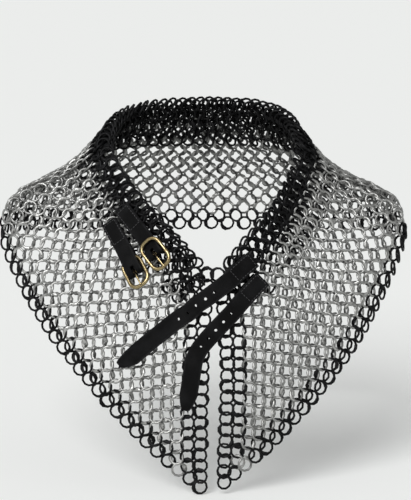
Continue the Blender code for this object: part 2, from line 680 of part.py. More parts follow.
def add_buckle(name, places, tilt, shares, leather, brass):
    """A folded strap with a centre-bar buckle. The strap is stitched flat at its end, runs
    to the bar, folds round it and has a slot there for the prong."""
    curve = strap_curve(places, 0)
    half = BUCKLE_STRAP_WIDTH / 2
    add_ribbon(name + "_strap_stitched_end", curve, 0, STITCHED_END - JOIN_GAP / 2,
               full_width(half), full_width(half), 2 * LEATHER, leather)
    start, _, normal, _ = frames_at(curve, [STITCHED_END])
    foot = frames_at(curve, [curve[2][-1]])[0][0] + FOOT_RISE * normal[0]
    ahead = unit(foot - start[0])
    up = unit(normal[0] - (normal[0] @ ahead) * ahead)
    across = np.cross(up, ahead)
    seat = Matrix([[ahead[k], across[k], up[k], start[0][k]] for k in range(3)] + [[0, 0, 0, 1]])
    outline = fold_outline(*shares)
    vertices = [(x, side, h) for side in (half, -half) for x, h in outline]
    free = add_object(name + "_strap", moved(vertices, seat), tube_faces(2, len(outline)), leather)
    bar = seat @ Matrix.Translation((BUCKLE_REACH, 0, BAR_HEIGHT))
    frame_seat = bar @ Matrix.Rotation(-tilt, 4, "Y")
    bore = cylinder(name + "_bore_guide", bar.translation, across, BAR_RADIUS + PLAY,
                    2 * BUCKLE_STRAP_WIDTH, BAR_SIDES, leather)
    combine(free, bore, "DIFFERENCE")
    if tilt:
        rounds, faces = tube(frame_path(), FRAME_RADIUS + PLAY, TUBE_SIDES, True)
        pocket = add_object(name + "_pocket_guide", moved(rounds, frame_seat), faces, leather)
        combine(free, pocket, "DIFFERENCE")
    slot_half = PRONG_RADIUS + SLOT_SIDE_GAP
    slot_end = BAR_RADIUS + PLAY + LEATHER + OVERRUN
    slot_deep = 2 * BAR_HEIGHT
    box = [(x, y, z) for x in (-SLOT_REACH, slot_end) for y, z in
           ((-slot_half, -slot_deep), (slot_half, -slot_deep),
            (slot_half, slot_deep), (-slot_half, slot_deep))]
    slot = add_object(name + "_slot_guide", moved(box, bar), tube_faces(2, 4), leather)
    combine(free, slot, "DIFFERENCE")
    put_origin(free, start[0] + 2 * LEATHER * up)

    rounds, faces = tube(frame_path(), FRAME_RADIUS, TUBE_SIDES, True)
    frame = add_object(name + "_frame", moved(rounds, frame_seat), faces, brass)
    span = BUCKLE_STRAP_WIDTH + 2 * (FRAME_SIDE_GAP + FRAME_RADIUS)
    middle = cylinder(name + "_bar_guide", bar.translation, across, BAR_RADIUS, span,
                      BAR_SIDES, brass)
    combine(frame, middle, "UNION")
    put_origin(frame, bar.translation)

    loop = BAR_RADIUS + PLAY + PRONG_RADIUS
    path = []
    for k in range(LOOP_STEPS + 1):
        turn = PRONG_LOOP_START - (math.pi * 1.5 + PRONG_LOOP_START) * k / LOOP_STEPS
        path.append((loop * math.cos(turn), 0, loop * math.sin(turn)))
    tip = FRAME_LENGTH / 2 - FRAME_RADIUS + PRONG_OVERHANG
    rest = max(FRAME_RADIUS + PLAY + PRONG_RADIUS, loop)
    path += [(tip / 2, 0, (loop + rest) / 2), (tip, 0, rest)]
    radii = [PRONG_RADIUS] * (len(path) - 1) + [PRONG_TIP_RADIUS]
    rounds, faces = tube(path, radii, TUBE_SIDES, False)
    prong = add_object(name + "_prong", moved(rounds, frame_seat), faces, brass)
    put_origin(prong, bar.translation)


def add_straps(leather, brass):
    lower_places = places_below(UPPER_BUCKLE_PLACES, LOWER_BUCKLE_COLUMNS,
                                LOWER_BUCKLE_SPACINGS)
    upper_fold = (UPPER_FOLD_UNDER_SHARES, UPPER_FOLD_OVER_SHARES)
    lower_fold = (LOWER_FOLD_UNDER_SHARES, LOWER_FOLD_OVER_SHARES)
    add_buckle("upper_buckle", UPPER_BUCKLE_PLACES, UPPER_TILT, upper_fold, leather, brass)
    add_buckle("lower_buckle", lower_places, LOWER_TILT, lower_fold, leather, brass)
    add_long_strap("upper_strap", UPPER_STRAP_PLACES, UPPER_FIRST_HOLE, UPPER_POINT_BIAS, leather)
    add_long_strap("lower_strap", LOWER_STRAP_PLACES, LOWER_FIRST_HOLE, LOWER_POINT_BIAS, leather)
    add_backing("upper_buckle_backing", UPPER_BUCKLE_PLACES, BUCKLE_STRAP_WIDTH, leather)
    add_backing("lower_buckle_backing", lower_places, BUCKLE_STRAP_WIDTH, leather)
    add_backing("upper_strap_backing", UPPER_STRAP_PLACES, STRAP_WIDTH, leather)
    add_backing("lower_strap_backing", LOWER_STRAP_PLACES, STRAP_WIDTH, leather)


def main():
    clear_scene()
    steel = material("bright_steel", STEEL, 0.35, 1.0)
    blackened = material("blackened_steel", BLACKENED, 0.4, 0.6)
    leather = material("black_leather", BLACK_LEATHER, 0.6, 0.0)
    brass = material("brass", BRASS, 0.35, 1.0)
    add_mail(steel, blackened)
    add_straps(leather, brass)


main()
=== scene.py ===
"""The looks of a mail collar: linked rings, leather straps and brass buckles, built round the
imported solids. Metres, +Z up, the wearer faces -Y.

A place on the mail is a column and a row of its weave. Columns run round the collar in half
steps of a ring from 0 at the middle of the back, plus to the wearer's left. Rows run from 0
at the rim to HEM_ROW at the hem, and rows below 0 lie in the rim's turn inwards.
"""
import json
import math

import bmesh
import bpy
import numpy as np
from bpy.props import FloatProperty, FloatVectorProperty, PointerProperty
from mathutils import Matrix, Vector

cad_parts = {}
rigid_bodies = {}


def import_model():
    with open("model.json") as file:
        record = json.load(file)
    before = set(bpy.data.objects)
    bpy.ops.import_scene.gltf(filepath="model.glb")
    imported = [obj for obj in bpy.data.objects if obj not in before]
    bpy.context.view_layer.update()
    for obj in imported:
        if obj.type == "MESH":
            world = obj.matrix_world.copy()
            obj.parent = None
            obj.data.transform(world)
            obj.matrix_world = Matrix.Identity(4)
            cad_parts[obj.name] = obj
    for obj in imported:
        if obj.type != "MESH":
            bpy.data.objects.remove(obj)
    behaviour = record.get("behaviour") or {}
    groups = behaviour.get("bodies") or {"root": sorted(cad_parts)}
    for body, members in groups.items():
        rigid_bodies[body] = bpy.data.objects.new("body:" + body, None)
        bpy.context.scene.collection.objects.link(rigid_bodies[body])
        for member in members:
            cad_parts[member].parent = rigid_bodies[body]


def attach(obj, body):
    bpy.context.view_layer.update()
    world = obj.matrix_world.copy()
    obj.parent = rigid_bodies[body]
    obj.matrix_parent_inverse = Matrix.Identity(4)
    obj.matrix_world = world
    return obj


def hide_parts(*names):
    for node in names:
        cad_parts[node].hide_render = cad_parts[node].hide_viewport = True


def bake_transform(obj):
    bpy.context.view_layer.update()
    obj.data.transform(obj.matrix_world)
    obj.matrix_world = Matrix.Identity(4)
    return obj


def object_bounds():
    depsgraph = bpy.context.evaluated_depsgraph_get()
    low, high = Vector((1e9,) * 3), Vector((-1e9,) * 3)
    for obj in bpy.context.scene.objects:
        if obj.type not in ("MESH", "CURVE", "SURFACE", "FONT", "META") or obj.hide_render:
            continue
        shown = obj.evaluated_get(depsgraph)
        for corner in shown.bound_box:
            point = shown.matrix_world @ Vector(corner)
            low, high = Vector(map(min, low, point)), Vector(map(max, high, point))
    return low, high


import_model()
CAD_BOX = [list(corner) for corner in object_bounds()]

bl_info = {
    "name": "Mail collar",
    "version": (1, 0, 0),
    "blender": (4, 5, 0),
    "location": "3D View > Sidebar > Mail collar",
    "description": "Rings, straps, buckles and stage of a mail collar",
    "category": "Object",
}

# Weave
HEM_ROW = 19
THROAT_COLUMN = 64
TIP_COLUMN = THROAT_COLUMN + HEM_ROW
MAIL_THICKNESS = 0.006
JOIN_GAP = 0.0003
DARK_RIM_ROWS = 4
DARK_HEM_ROWS = 2
DARK_FRONT_RINGS = 2
EDGINGS = {"rim": ("back", "right", "left"), "hem": ("back", "right", "left"),
           "front": ("right", "left")}

# The rim's turn inwards: its first row at some columns, and how many rows it adds
TURNED_ROWS = 5
TURN_COLUMNS = (50, 54, 60, 64)
TURN_ROWS = (1.05, 0.5, 0.34, 0.15)
TURN_RADIUS = 0.0022

# How rings lie: tilt at each spacing of the columns and at free edges, fall there, spread
PITCH_KNOTS = (0.0033, 0.0040, 0.0049, 0.0062)
TILT_KNOTS = np.radians((35, 30, 24, 20))
LOOSE_FALL = 1.5
EDGE_TILT = math.radians(13)
RING_WOBBLE = math.radians(2.5)
LAP_SPREAD = math.radians(65)
ODD_BRIGHT_RINGS = ((-79, 19), (-78, 18), (79, 19), (80, 18))

# Rim of the neck opening
NECK_HALF_WIDTH = 0.077
NAPE_REACH = 0.060
NAPE_RISE = 0.025
THROAT_REACH = 0.074
THROAT_DROP = 0.095

# Hem
SHOULDER_HALF_WIDTH = 0.1635
BACK_REACH = 0.102
BACK_DROP = 0.090
CHEST_REACH = 0.097
TIP_DROP = 0.260

# Fall of the mail between rim and hem, and how the front hangs
ROOT_ROW_SHARE = 0.37
BROW_ROW_SHARE = 0.79
ROOT_RISE = 0.002
BROW_RISE = 0.013
FRONT_SHIFT = 0.007
LEFT_SWAY = 0.004
LEFT_LIFT = 0.004
LEFT_SAG = 0.004
SHIFT_START_SHARE = 0.36
SHIFT_RIM_END_SHARE = 0.675
SHIFT_HEM_END_SHARE = 1
SWAY_START_SHARE = 0.53
SWAY_END_SHARE = 0.77
SWAY_CREST = 6.75
SAG_START_SHARE = 0.12
SAG_FULL_SHARE = 0.3
SAG_FADE_SHARE = 0.4

# Straps. A place is a column and a row; each list starts at the stitched end.
STRAP_WIDTH = 0.014
BUCKLE_STRAP_WIDTH = 0.013
STRAP_LEATHER = 0.0020
LEATHER = 0.0018
BACKING_LEATHER = 0.0018
STITCHED_END = 0.021
BUCKLE_REACH = 0.028
FOOT_RISE = 0.0012
POINT_LENGTH = 0.012
POINT_HALF_WIDTH = 0.0018
HOLE_RADIUS = 0.0011
HOLE_PITCH = 0.0088
HOLES = 5
STRAPS = {
    "upper_strap": {
        "places": ((59.1, 1.8), (61.8, 1.4), (64.1, 1.2), (-66.6, 1.9), (-66.2, 3.1),
                   (-66, 4.5), (-65.5, 5.9), (-65, 8), (-64.5, 10.2), (-64.1, 12.6),
                   (-63.8, 14.9)),
        "first_hole": 0.0395, "bias": 0.003},
    "lower_strap": {
        "places": ((60.2, 4), (63.1, 3.8), (65.2, 3.8), (67.1, 3.9), (68.8, 3.9),
                   (-70.5, 6.2), (-70.9, 7.8), (-71.8, 9.1), (-72.8, 10.4),
                   (-73.8, 11.8), (-74.6, 13)),
        "first_hole": 0.0366, "bias": 0.0},
}

# A buckle strap's layers: how high they lie, as shares of the bar's height, along its reach
FOLD_PLACE_SHARES = (0, 0.41, 0.57, 0.69, 0.8, 0.91)
UNDER_SHARES = (0, 0, 0, 0.03, 0.13, 0.3)
BUCKLES = {
    "upper_buckle": {
        "places": ((-46.9, 2.8), (-49.5, 2.82), (-52, 2.85), (-57.6, 2.92)),
        "tilt": 0.0, "frame_body": "upper_buckle_frame",
        "over": (0.69, 0.69, 0.69, 0.71, 1.2, 1.52)},
    "lower_buckle": {
        "places": ((-46.9, 5.1), (-49.3, 5.35), (-51.5, 5.6), (-57.1, 6.29)),
        "tilt": math.radians(8), "frame_body": "lower_buckle_strap",
        "over": (0.69, 1.08, 1.35, 1.47, 1.57, 1.64)},
}

# Buckles
BAR_RADIUS = 0.0012
FRAME_RADIUS = 0.00125
FRAME_LENGTH = 0.0275
FRAME_SIDE_GAP = 0.0004
FRAME_CORNER = 0.0065
BAR_HEIGHT = 0.0052
PLAY = 0.0003
PRONG_RADIUS = 0.0009
PRONG_OVERHANG = 0.0016
# Along the prong from its bar: full painted shade and grime up to the start, none past the end
SHADE_AND_GRIME_START = 0.004
SHADE_AND_GRIME_END = 0.0062
SLOT_HALF_WIDTH = 0.0015
SLOT_REACH = 0.005
FRAME_FULLNESS = 1.18
FRAME_SWELL = 0.08
SWELL_START = 0.2
FRAME_SIDES = 14
CORNER_POINTS = 11
BAR_POINTS = 9
PRONG_SIDES = 12
LOOP_START = math.radians(-30)
LOOP_SWEEP = math.radians(240)
LOOP_POINTS = 19
SHANK_START = 0.15
SHANK_POINTS = 10
SHANK_TAPER = (1.05, 0.72)
PRONG_TIP = 0.3

# Finer sizes of the looks
GRID_STEP = 0.00055
CURVE_SAMPLES = 400
MERGE_DISTANCE = 1e-7
NO_DISTANCE = 1e-9
CREASE_INSET = 0.0014
CREASE_DEPTH = 0.00022
CREASE_SPREAD = 1.3 * GRID_STEP
BACKING_LINES = 22
LAYER_SLACK = 0.0001
BROKEN_EDGE = 0.0004
SHARP_ANGLE = math.radians(50)
STITCH_PITCH = 0.0026
STITCH_LENGTH = 0.0019
STITCH_RADIUS = 0.00032
STITCH_INSET = 0.0014
STITCH_START = 0.0028
STITCH_SHARES = (-1, -0.85, -0.3, 0.3, 0.85, 1)
STITCH_SWELL = (0.02, 0.7, 1, 1, 0.7, 0.02)
STITCH_SIDES = 5
WIRE_FULLNESS = 1.18
RIVET_RADIUS = 0.00055
RIVET_HEIGHT = 0.0003

# Stations round a ring, in degrees from its lap, with the wire's width and depth there
LAP_STATIONS = np.radians((-170, -137, -104, -72, -42, -13, 15, 23, 51, 83, 118, 154))
LAP_WIDTHS = np.array((1, 1, 1, 1.05, 1.45, 1.85, 1.85, 1.35, 1.15, 1, 1, 1))
LAP_DEPTHS = np.array((1, 1, 1, 1, 1, 1.1, 1.1, 0.75, 0.9, 1, 1, 1))
LAP_MARKS = np.array((0, 0, 0, 0.1, 0.7, 1, 1, 0.3, 0.05, 0, 0, 0))
WIRE_SIDES = 5
RIVET_SIDES = 6
BRIGHT_SEED = 11
DARK_SEED = 21

# Grid of a buckle strap: steps along its sewn end, places along its free part as shares of its
# reach, steps round the fold, and lines across as shares of its half width
SEWN_STEP = 0.0015
FREE_START = 0.02
FREE_STEPS = 18
FREE_ENDS = (0.87, 0.91)
FOLD_STEPS = 15
ACROSS_SHARES = (0.4, 0.6, 0.8, 1)

# Stage
FLOOR_HALF = 9
FLOOR_POINTS = 9
FLOOR_DEPTH = 0.001
LAMP_ANGLE = math.radians(35)
LAMP_TURN = (math.radians(48), 0, math.radians(-28))
CAMERA_PLACE = (0.00174, -1.605, 0.2487)
SENSOR_WIDTH = 36
VIEW_DEPTH = 60


def size_value(name, description, default):
    return FloatProperty(name=name, description=description, default=default,
                         unit="LENGTH", subtype="DISTANCE")


def level_value(name, description, default):
    return FloatProperty(name=name, description=description, default=default, min=0)


def colour_value(name, description, default):
    return FloatVectorProperty(name=name, description=description, default=default, size=3,
                               min=0, max=1, subtype="COLOR")


class MailCollarWeave(bpy.types.PropertyGroup):
    """Sizes and colours of the rings"""
    ring_bore: size_value("Ring bore", "Inner diameter of a ring", 0.009)
    wire: size_value("Wire", "Diameter of the ring wire", 0.0016)
    unevenness: size_value("Unevenness", "How far a ring lies off its even place", 0.0002)
    visible_laps: FloatProperty(
        name="Laps outside", description="Share of the rings whose lap lies outside",
        default=0.16, min=0, max=1, subtype="FACTOR")
    bright_colour: colour_value("Bright steel", "Colour of the bright rings",
                                (0.41, 0.41, 0.40))
    dark_colour: colour_value("Blackened steel", "Colour of the dark rings",
                              (0.008, 0.008, 0.0085))


class MailCollarTrim(bpy.types.PropertyGroup):
    """Colours of the straps and buckles"""
    leather_colour: colour_value("Leather", "Colour of the strap leather",
                                 (0.0055, 0.0055, 0.0058))
    thread_colour: colour_value("Thread", "Colour of the stitches", (0.03, 0.03, 0.032))
    brass_colour: colour_value("Brass", "Colour of the buckles", (0.40, 0.32, 0.17))


class MailCollarStage(bpy.types.PropertyGroup):
    """Floor, light and camera"""
    floor_colour: colour_value("Floor", "Colour of the floor and of the surroundings",
                               (0.80, 0.81, 0.80))
    floor_glow: level_value("Floor paleness", "How much paler the floor shows than it is lit",
                            0.13)
    light_level: level_value("Surrounding light", "Strength of the light from all round", 0.42)
    key_level: level_value("Main light", "Strength of the light from above the camera", 2.6)
    camera_tilt: FloatProperty(
        name="Camera tilt", description="How far the camera looks down",
        default=math.radians(12), unit="ROTATION", subtype="ANGLE")
    lens: FloatProperty(
        name="Lens", description="Focal length in millimetres", default=145.8, min=1)


def unit(vectors):
    return vectors / np.linalg.norm(vectors, axis=-1, keepdims=True)


def square_to(axis, vectors):
    """Unit vectors turned square to an axis."""
    return unit(vectors - (vectors * axis).sum(-1, keepdims=True) * axis)


def circle(count, start=0):
    """Even angles round a circle, from a start in steps."""
    return 2 * math.pi * (np.arange(count) + start) / count


def distances(points):
    """Length so far at each point of a line."""
    return np.concatenate([[0], np.cumsum(np.linalg.norm(np.diff(points, axis=0), axis=1))])


def ease(start, end, value):
    """A smooth step from 0 at start to 1 at end."""
    t = np.clip((value - start) / (end - start), 0, 1)
    return t * t * (3 - 2 * t)


def hermite(s, width, first, first_slope, last, last_slope):
    """A cubic from one value to the next over a width, with a slope at each."""
    return ((2 * s ** 3 - 3 * s ** 2 + 1) * first
            + (s ** 3 - 2 * s ** 2 + s) * width * first_slope
            + (3 * s ** 2 - 2 * s ** 3) * last
            + (s ** 3 - s ** 2) * width * last_slope)


def along(places, values, wanted, level_start=True):
    """A smooth curve through the values at the places, level at the first, straight on past
    the last: cubic Hermite pieces with slopes taken from the neighbours."""
    places = np.asarray(places, float)
    values = np.asarray(values, float)
    slopes = np.empty_like(values)
    slopes[1:-1] = (values[2:] - values[:-2]) / (places[2:] - places[:-2])
    slopes[-1] = (values[-1] - values[-2]) / (places[-1] - places[-2])
    slopes[0] = 0 if level_start else (values[1] - values[0]) / (places[1] - places[0])
    piece = np.clip(np.searchsorted(places, wanted, side="right") - 1, 0, len(places) - 2)
    width = places[piece + 1] - places[piece]
    t = (wanted - places[piece]) / width
    curve = hermite(np.clip(t, 0, 1), width, values[piece], slopes[piece],
                    values[piece + 1], slopes[piece + 1])
    return curve + np.where(t > 1, (t - 1) * width * slopes[-1], 0)


def lengths(near, near_shares, far, far_shares):
    """Shares of one size, then shares of the next, as one row of lengths."""
    return np.concatenate([near * np.array(near_shares), far * np.array(far_shares)])


# The rim's columns as shares of the throat's, with x, y and z there
RIM = (THROAT_COLUMN * np.array((0, 0.266, 0.531, 0.64, 0.766, 0.875, 1, 1.297)),
       NECK_HALF_WIDTH * np.array((0, 0.74, 0.99, 0.87, 0.636, 0.388, 0.078, -0.864)),
       lengths(NAPE_REACH, (1, 0.733, 0.117),
               -THROAT_REACH, (0.284, 0.581, 0.811, 1, 1.216)),
       lengths(NAPE_RISE, (1, 0.84, -0.04),
               -THROAT_DROP, (0.232, 0.474, 0.7, 1, 1.758)))

# The hem's columns as shares of the tip's, with x, y and z there
HEM = (TIP_COLUMN * np.array((0, 0.205, 0.41, 0.47, 0.542, 0.651, 0.771, 0.892, 1)),
       SHOULDER_HALF_WIDTH * np.array((0, 0.697, 1, 0.963, 0.873, 0.723, 0.523, 0.294, 0.068)),
       lengths(BACK_REACH, (1, 0.784, 0.118),
               -CHEST_REACH, (0.103, 0.34, 0.619, 0.814, 0.938, 1)),
       lengths(-BACK_DROP, (1, 0.956, 0.856),
               -TIP_DROP, (0.363, 0.458, 0.587, 0.733, 0.881, 1)))

# How far root and brow stand off the straight line at some columns
FALL_PLACES = TIP_COLUMN * np.array((0, 0.205, 0.41, 0.542, 0.675, 0.771, 1))
ROOT_RISES = ROOT_RISE * np.array((0.5, 1, -0.5, -1, -0.5, 0, 0))
BROW_RISES = BROW_RISE * np.array((0.46, 0.69, 1, 0.69, 0.31, 0.08, 0))


def edge_line(places, x, y, z, column):
    """A point of the rim or hem line at each column, on the left half."""
    return np.stack([along(places, x, column, level_start=False),
                     along(places, y, column), along(places, z, column)], axis=-1)


def mail_point(column, row):
    """The middle of the mail at each column and row. The fall of a column is a cubic curve
    through its rim point, its root near the neck, its brow over the shoulder and its hem
    point; root and brow stand off the straight line from rim to hem."""
    column, row = np.broadcast_arrays(np.asarray(column, float), np.asarray(row, float))
    place = np.abs(column)
    step = 0.5
    rim = edge_line(*RIM, place)
    hem = edge_line(*HEM, place)
    onward = edge_line(*RIM, place + step) - rim + edge_line(*HEM, place + step) - hem
    outward = unit(np.cross(onward, hem - rim))
    root_rise = along(FALL_PLACES, ROOT_RISES, place)[..., None]
    brow_rise = along(FALL_PLACES, BROW_RISES, place)[..., None]
    root = rim + ROOT_ROW_SHARE * (hem - rim) + root_rise * outward
    brow = rim + BROW_ROW_SHARE * (hem - rim) + brow_rise * outward
    knots = (0, ROOT_ROW_SHARE, BROW_ROW_SHARE, 1)
    points = (rim, root, brow, hem)
    slopes = ((root - rim) / ROOT_ROW_SHARE, (brow - rim) / BROW_ROW_SHARE,
              (hem - root) / (1 - ROOT_ROW_SHARE), (hem - brow) / (1 - BROW_ROW_SHARE))
    down = (row / HEM_ROW)[..., None]
    inside = np.clip(down, 0, 1)
    surface = np.zeros_like(rim)
    for k in range(3):
        width = knots[k + 1] - knots[k]
        piece = hermite(np.clip((inside - knots[k]) / width, 0, 1), width,
                        points[k], slopes[k], points[k + 1], slopes[k + 1])
        here = (inside >= knots[k]) & ((inside < knots[k + 1]) | (k == 2))
        surface = np.where(here, piece, surface)
    surface = surface + np.minimum(down, 0) * slopes[0] + np.maximum(down - 1, 0) * slopes[3]
    left = column > 0
    share = place / TIP_COLUMN
    inside = inside[..., 0]
    shift_end = SHIFT_RIM_END_SHARE + (SHIFT_HEM_END_SHARE - SHIFT_RIM_END_SHARE) * inside
    sway = LEFT_SWAY * ease(SWAY_START_SHARE, SWAY_END_SHARE, share) * SWAY_CREST
    lift = LEFT_LIFT * ease(SWAY_START_SHARE, 1, share)
    sag = (LEFT_SAG * SWAY_CREST * ease(SAG_START_SHARE, SAG_FULL_SHARE, share)
           * ease(SWAY_START_SHARE, SAG_FADE_SHARE, share))
    surface[..., 0] *= np.where(left, 1, -1)
    surface[..., 0] += FRONT_SHIFT * ease(SHIFT_START_SHARE, shift_end, share)
    surface[..., 0] += np.where(left, sway * inside * (1 - inside) ** 2, 0)
    surface[..., 2] += np.where(left, lift * inside - sag * inside * (1 - inside) ** 2, 0)
    return surface


def mail_axes(column, row):
    """Unit vectors at a place on the mail: round the collar, down the column and outwards."""
    step = 0.25
    round_ = unit(mail_point(column + step, row) - mail_point(column - step, row))
    down = unit(mail_point(column, row + step) - mail_point(column, row - step))
    outward = unit(np.cross(round_, down))
    return round_, down, outward


def grid_quads(count_u, count_v, wrap_u=False, wrap_v=False):
    """The corners of a grid's quads, four to a row, with u counted before v."""
    i, j = np.meshgrid(np.arange(count_u if wrap_u else count_u - 1),
                       np.arange(count_v if wrap_v else count_v - 1), indexing="ij")
    i, j = i.ravel(), j.ravel()
    onward, beside = (i + 1) % count_u, (j + 1) % count_v
    return np.stack([i * count_v + j, onward * count_v + j,
                     onward * count_v + beside, i * count_v + beside], axis=-1)


def repeated(quads, per_item, count):
    """One item's quads for each of many like items, each with its own points."""
    return (quads[None] + per_item * np.arange(count)[:, None, None]).reshape(-1, 4)


def new_object(name, data):
    """Puts a mesh, a lamp or a camera into the scene."""
    made = bpy.data.objects.new(name, data)
    bpy.context.scene.collection.objects.link(made)
    return made


def mesh_object(name, points, faces, finish):
    mesh = bpy.data.meshes.new(name)
    mesh.from_pydata(np.asarray(points, float).reshape(-1, 3).tolist(), [], faces)
    mesh.materials.append(finish)
    return new_object(name, mesh)


def add_piece(name, points, faces, finish, body, replaced, marks=None):
    """Makes a mesh piece, gives it its marks as attributes and its place in the frame."""
    made = mesh_object(name, points, faces, finish)
    for label, values in (marks or {}).items():
        layer = made.data.attributes.new(label, "FLOAT", "POINT")
        layer.data.foreach_set("value", np.asarray(values, np.float32).ravel())
    made.data.shade_smooth()
    if body:
        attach(made, body)
    if replaced:
        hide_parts(*replaced)
    return made


class Signal:
    """A node's output that can stand in Python sums; each operator adds its Math node."""

    def __init__(self, nodes, socket):
        self.nodes = nodes
        self.socket = socket

    def math(self, operation, first, second):
        return self.nodes.add("ShaderNodeMath", {"operation": operation}, {0: first, 1: second})

    def __add__(self, other):
        return self.math("ADD", self, other)

    __radd__ = __add__

    def __sub__(self, other):
        return self.math("SUBTRACT", self, other)

    def __rsub__(self, other):
        return self.math("SUBTRACT", other, self)

    def __mul__(self, other):
        return self.math("MULTIPLY", self, other)

    __rmul__ = __mul__

    def above(self, low, high):
        """0 below low, 1 above high and a smooth step between."""
        return self.nodes.add("ShaderNodeMapRange", {"interpolation_type": "SMOOTHSTEP"},
                              {0: self, 1: low, 2: high, 3: 0.0, 4: 1.0})


class Nodes:
    """A node tree with one way to add a node."""

    def __init__(self, tree):
        self.tree = tree

    def add(self, kind, settings=None, inputs=None, output=0):
        node = self.tree.nodes.new(kind)
        for key, value in (settings or {}).items():
            setattr(node, key, value)
        for key, value in (inputs or {}).items():
            self.feed(node, key, value)
        return Signal(self, node.outputs[output])

    def feed(self, node, key, value):
        if isinstance(value, Signal):
            self.tree.links.new(value.socket, node.inputs[key])
        else:
            node.inputs[key].default_value = value

    def place(self):
        return self.add("ShaderNodeTexCoord", output="Object")

    def mark(self, name):
        return self.add("ShaderNodeAttribute", {"attribute_name": name}, output="Fac")

    def noise(self, vector, scale, detail=3.0, roughness=0.5):
        return self.add("ShaderNodeTexNoise", None,
                        {"Vector": vector, "Scale": scale, "Detail": detail,
                         "Roughness": roughness})

    def cells(self, vector, scale):
        return self.add("ShaderNodeTexVoronoi", {"feature": "DISTANCE_TO_EDGE"},
                        {"Vector": vector, "Scale": scale})

    def blend(self, share, first, second):
        return self.add("ShaderNodeMix", {"data_type": "RGBA"},
                        {0: share, 6: first, 7: second}, output=2)



def shade(colour, factor):
    return (*(channel * factor for channel in colour), 1.0)


class Finish(Nodes):
    """A material with plain values on its shader, and its nodes to build on."""

    def __init__(self, name, colour, roughness, metallic, specular=0.5):
        self.made = bpy.data.materials.new(name)
        self.made.use_nodes = True
        super().__init__(self.made.node_tree)
        self.shader = self.tree.nodes["Principled BSDF"]
        self.made.diffuse_color = shade(colour, 1)
        self.colour(shade(colour, 1))
        self.roughness(roughness)
        self.feed(self.shader, "Metallic", metallic)
        self.feed(self.shader, "Specular IOR Level", specular)

    def colour(self, value):
        self.feed(self.shader, "Base Color", value)

    def roughness(self, value):
        self.feed(self.shader, "Roughness", value)

    def bump(self, height, distance, strength):
        self.feed(self.shader, "Normal", self.add(
            "ShaderNodeBump", None,
            {"Height": height, "Distance": distance, "Strength": strength}))


def bright_steel_finish(colour):
    """Satin drawn wire: each ring has its own tone, with grey tarnish in patches, brighter
    hammered laps, dark rivets, and painted shade on the arcs that lie back in the mail."""
    nodes = Finish("bright_steel_wire", colour, 0.42, 0.9)
    place = nodes.place()
    tone = nodes.mark("tone")
    tarnish = nodes.noise(place, 160.0, 4.0).above(0.48, 0.72)
    streaks = nodes.noise(place, 1900.0, 2.0)
    ring = nodes.blend(tone, shade(colour, 0.82), shade(colour, 1.2))
    # Painted shade: the arcs that lie back in the mail are darkened towards a dark grey
    back_arc_shade = 1 - nodes.mark("stand").above(-0.7, 0.55)
    shaded_ring = nodes.blend(0.92 * back_arc_shade, ring, shade(colour, 0.14))
    stained = nodes.blend(0.4 * tarnish, shaded_ring, shade(colour, 0.42))
    hammered = nodes.blend(0.6 * nodes.mark("lap"), stained, shade(colour, 1.5))
    nodes.colour(nodes.blend(nodes.mark("rivet"), hammered, shade(colour, 0.16)))
    nodes.roughness(0.36 + 0.16 * tarnish + 0.12 * streaks)
    nodes.bump(streaks, 0.00004, 0.5)
    return nodes.made


def blackened_steel_finish(colour):
    """Blackened wire with a low sheen, greyer where the laps and links have rubbed."""
    nodes = Finish("blackened_steel_wire", colour, 0.42, 0.4, 0.12)
    place = nodes.place()
    rubbed = nodes.noise(place, 420.0, 4.0).above(0.52, 0.78)
    grain = nodes.noise(place, 1500.0, 2.0)
    ring = nodes.blend(nodes.mark("tone"), shade(colour, 0.6), shade(colour, 1.7))
    worn = nodes.blend(rubbed * (0.35 + 0.4 * nodes.mark("lap")), ring, shade(colour, 5.0))
    nodes.colour(worn)
    nodes.roughness(0.34 + 0.22 * grain)
    nodes.bump(grain, 0.00005, 0.6)
    return nodes.made


def leather_finish(colour):
    """Dyed strap leather: a fine pebbled grain, soft creases, and edges rubbed paler."""
    nodes = Finish("strap_leather", colour, 0.55, 0.0, 0.06)
    place = nodes.place()
    pebbles = nodes.cells(place, 1500.0)
    creases = nodes.noise(place, 240.0, 5.0, 0.6)
    cloudy = nodes.noise(place, 55.0, 3.0).above(0.4, 0.7)
    edge = nodes.mark("edge").above(0.72, 1.0)
    dyed = nodes.blend(cloudy, shade(colour, 0.75), shade(colour, 1.6))
    rubbed = 0.6 * edge * creases.above(0.35, 0.6)
    nodes.colour(nodes.blend(rubbed, dyed, shade(colour, 4.0)))
    nodes.roughness(0.46 + 0.2 * creases - 0.06 * cloudy)
    nodes.bump(pebbles.above(0.0, 0.12) * 0.5 + creases, 0.00018, 0.8)
    return nodes.made


def thread_finish(colour):
    """Waxed thread, with its plies showing as fine uneven marks."""
    nodes = Finish("waxed_thread", colour, 0.6, 0.0)
    plies = nodes.noise(nodes.place(), 2600.0, 1.0)
    nodes.colour(nodes.blend(plies, shade(colour, 0.6), shade(colour, 1.6)))
    nodes.bump(plies, 0.0001, 0.6)
    return nodes.made


def brass_finish(colour):
    """Cast brass gone dull: brown patina in patches and specks, polished where it is rubbed."""
    nodes = Finish("aged_brass", colour, 0.32, 1.0)
    place = nodes.place()
    patina = nodes.noise(place, 330.0, 5.0, 0.6).above(0.5, 0.68)
    specks = nodes.noise(place, 1500.0, 3.0).above(0.6, 0.72)
    warm = nodes.blend(nodes.noise(place, 120.0), shade(colour, 0.85), shade(colour, 1.1))
    aged = nodes.blend(0.65 * patina, warm, (0.16, 0.10, 0.04, 1.0))
    specked = nodes.blend(0.8 * specks, aged, (0.05, 0.035, 0.02, 1.0))
    # Painted shade, with some grime: near black where the prong's loop lies within the leather
    nodes.colour(nodes.blend(nodes.mark("prong_shade_and_grime"), specked, (0.012, 0.009, 0.006, 1.0)))
    nodes.roughness(0.26 + 0.22 * patina + 0.1 * specks)
    nodes.bump(nodes.noise(place, 900.0, 3.0), 0.00008, 0.5)
    return nodes.made


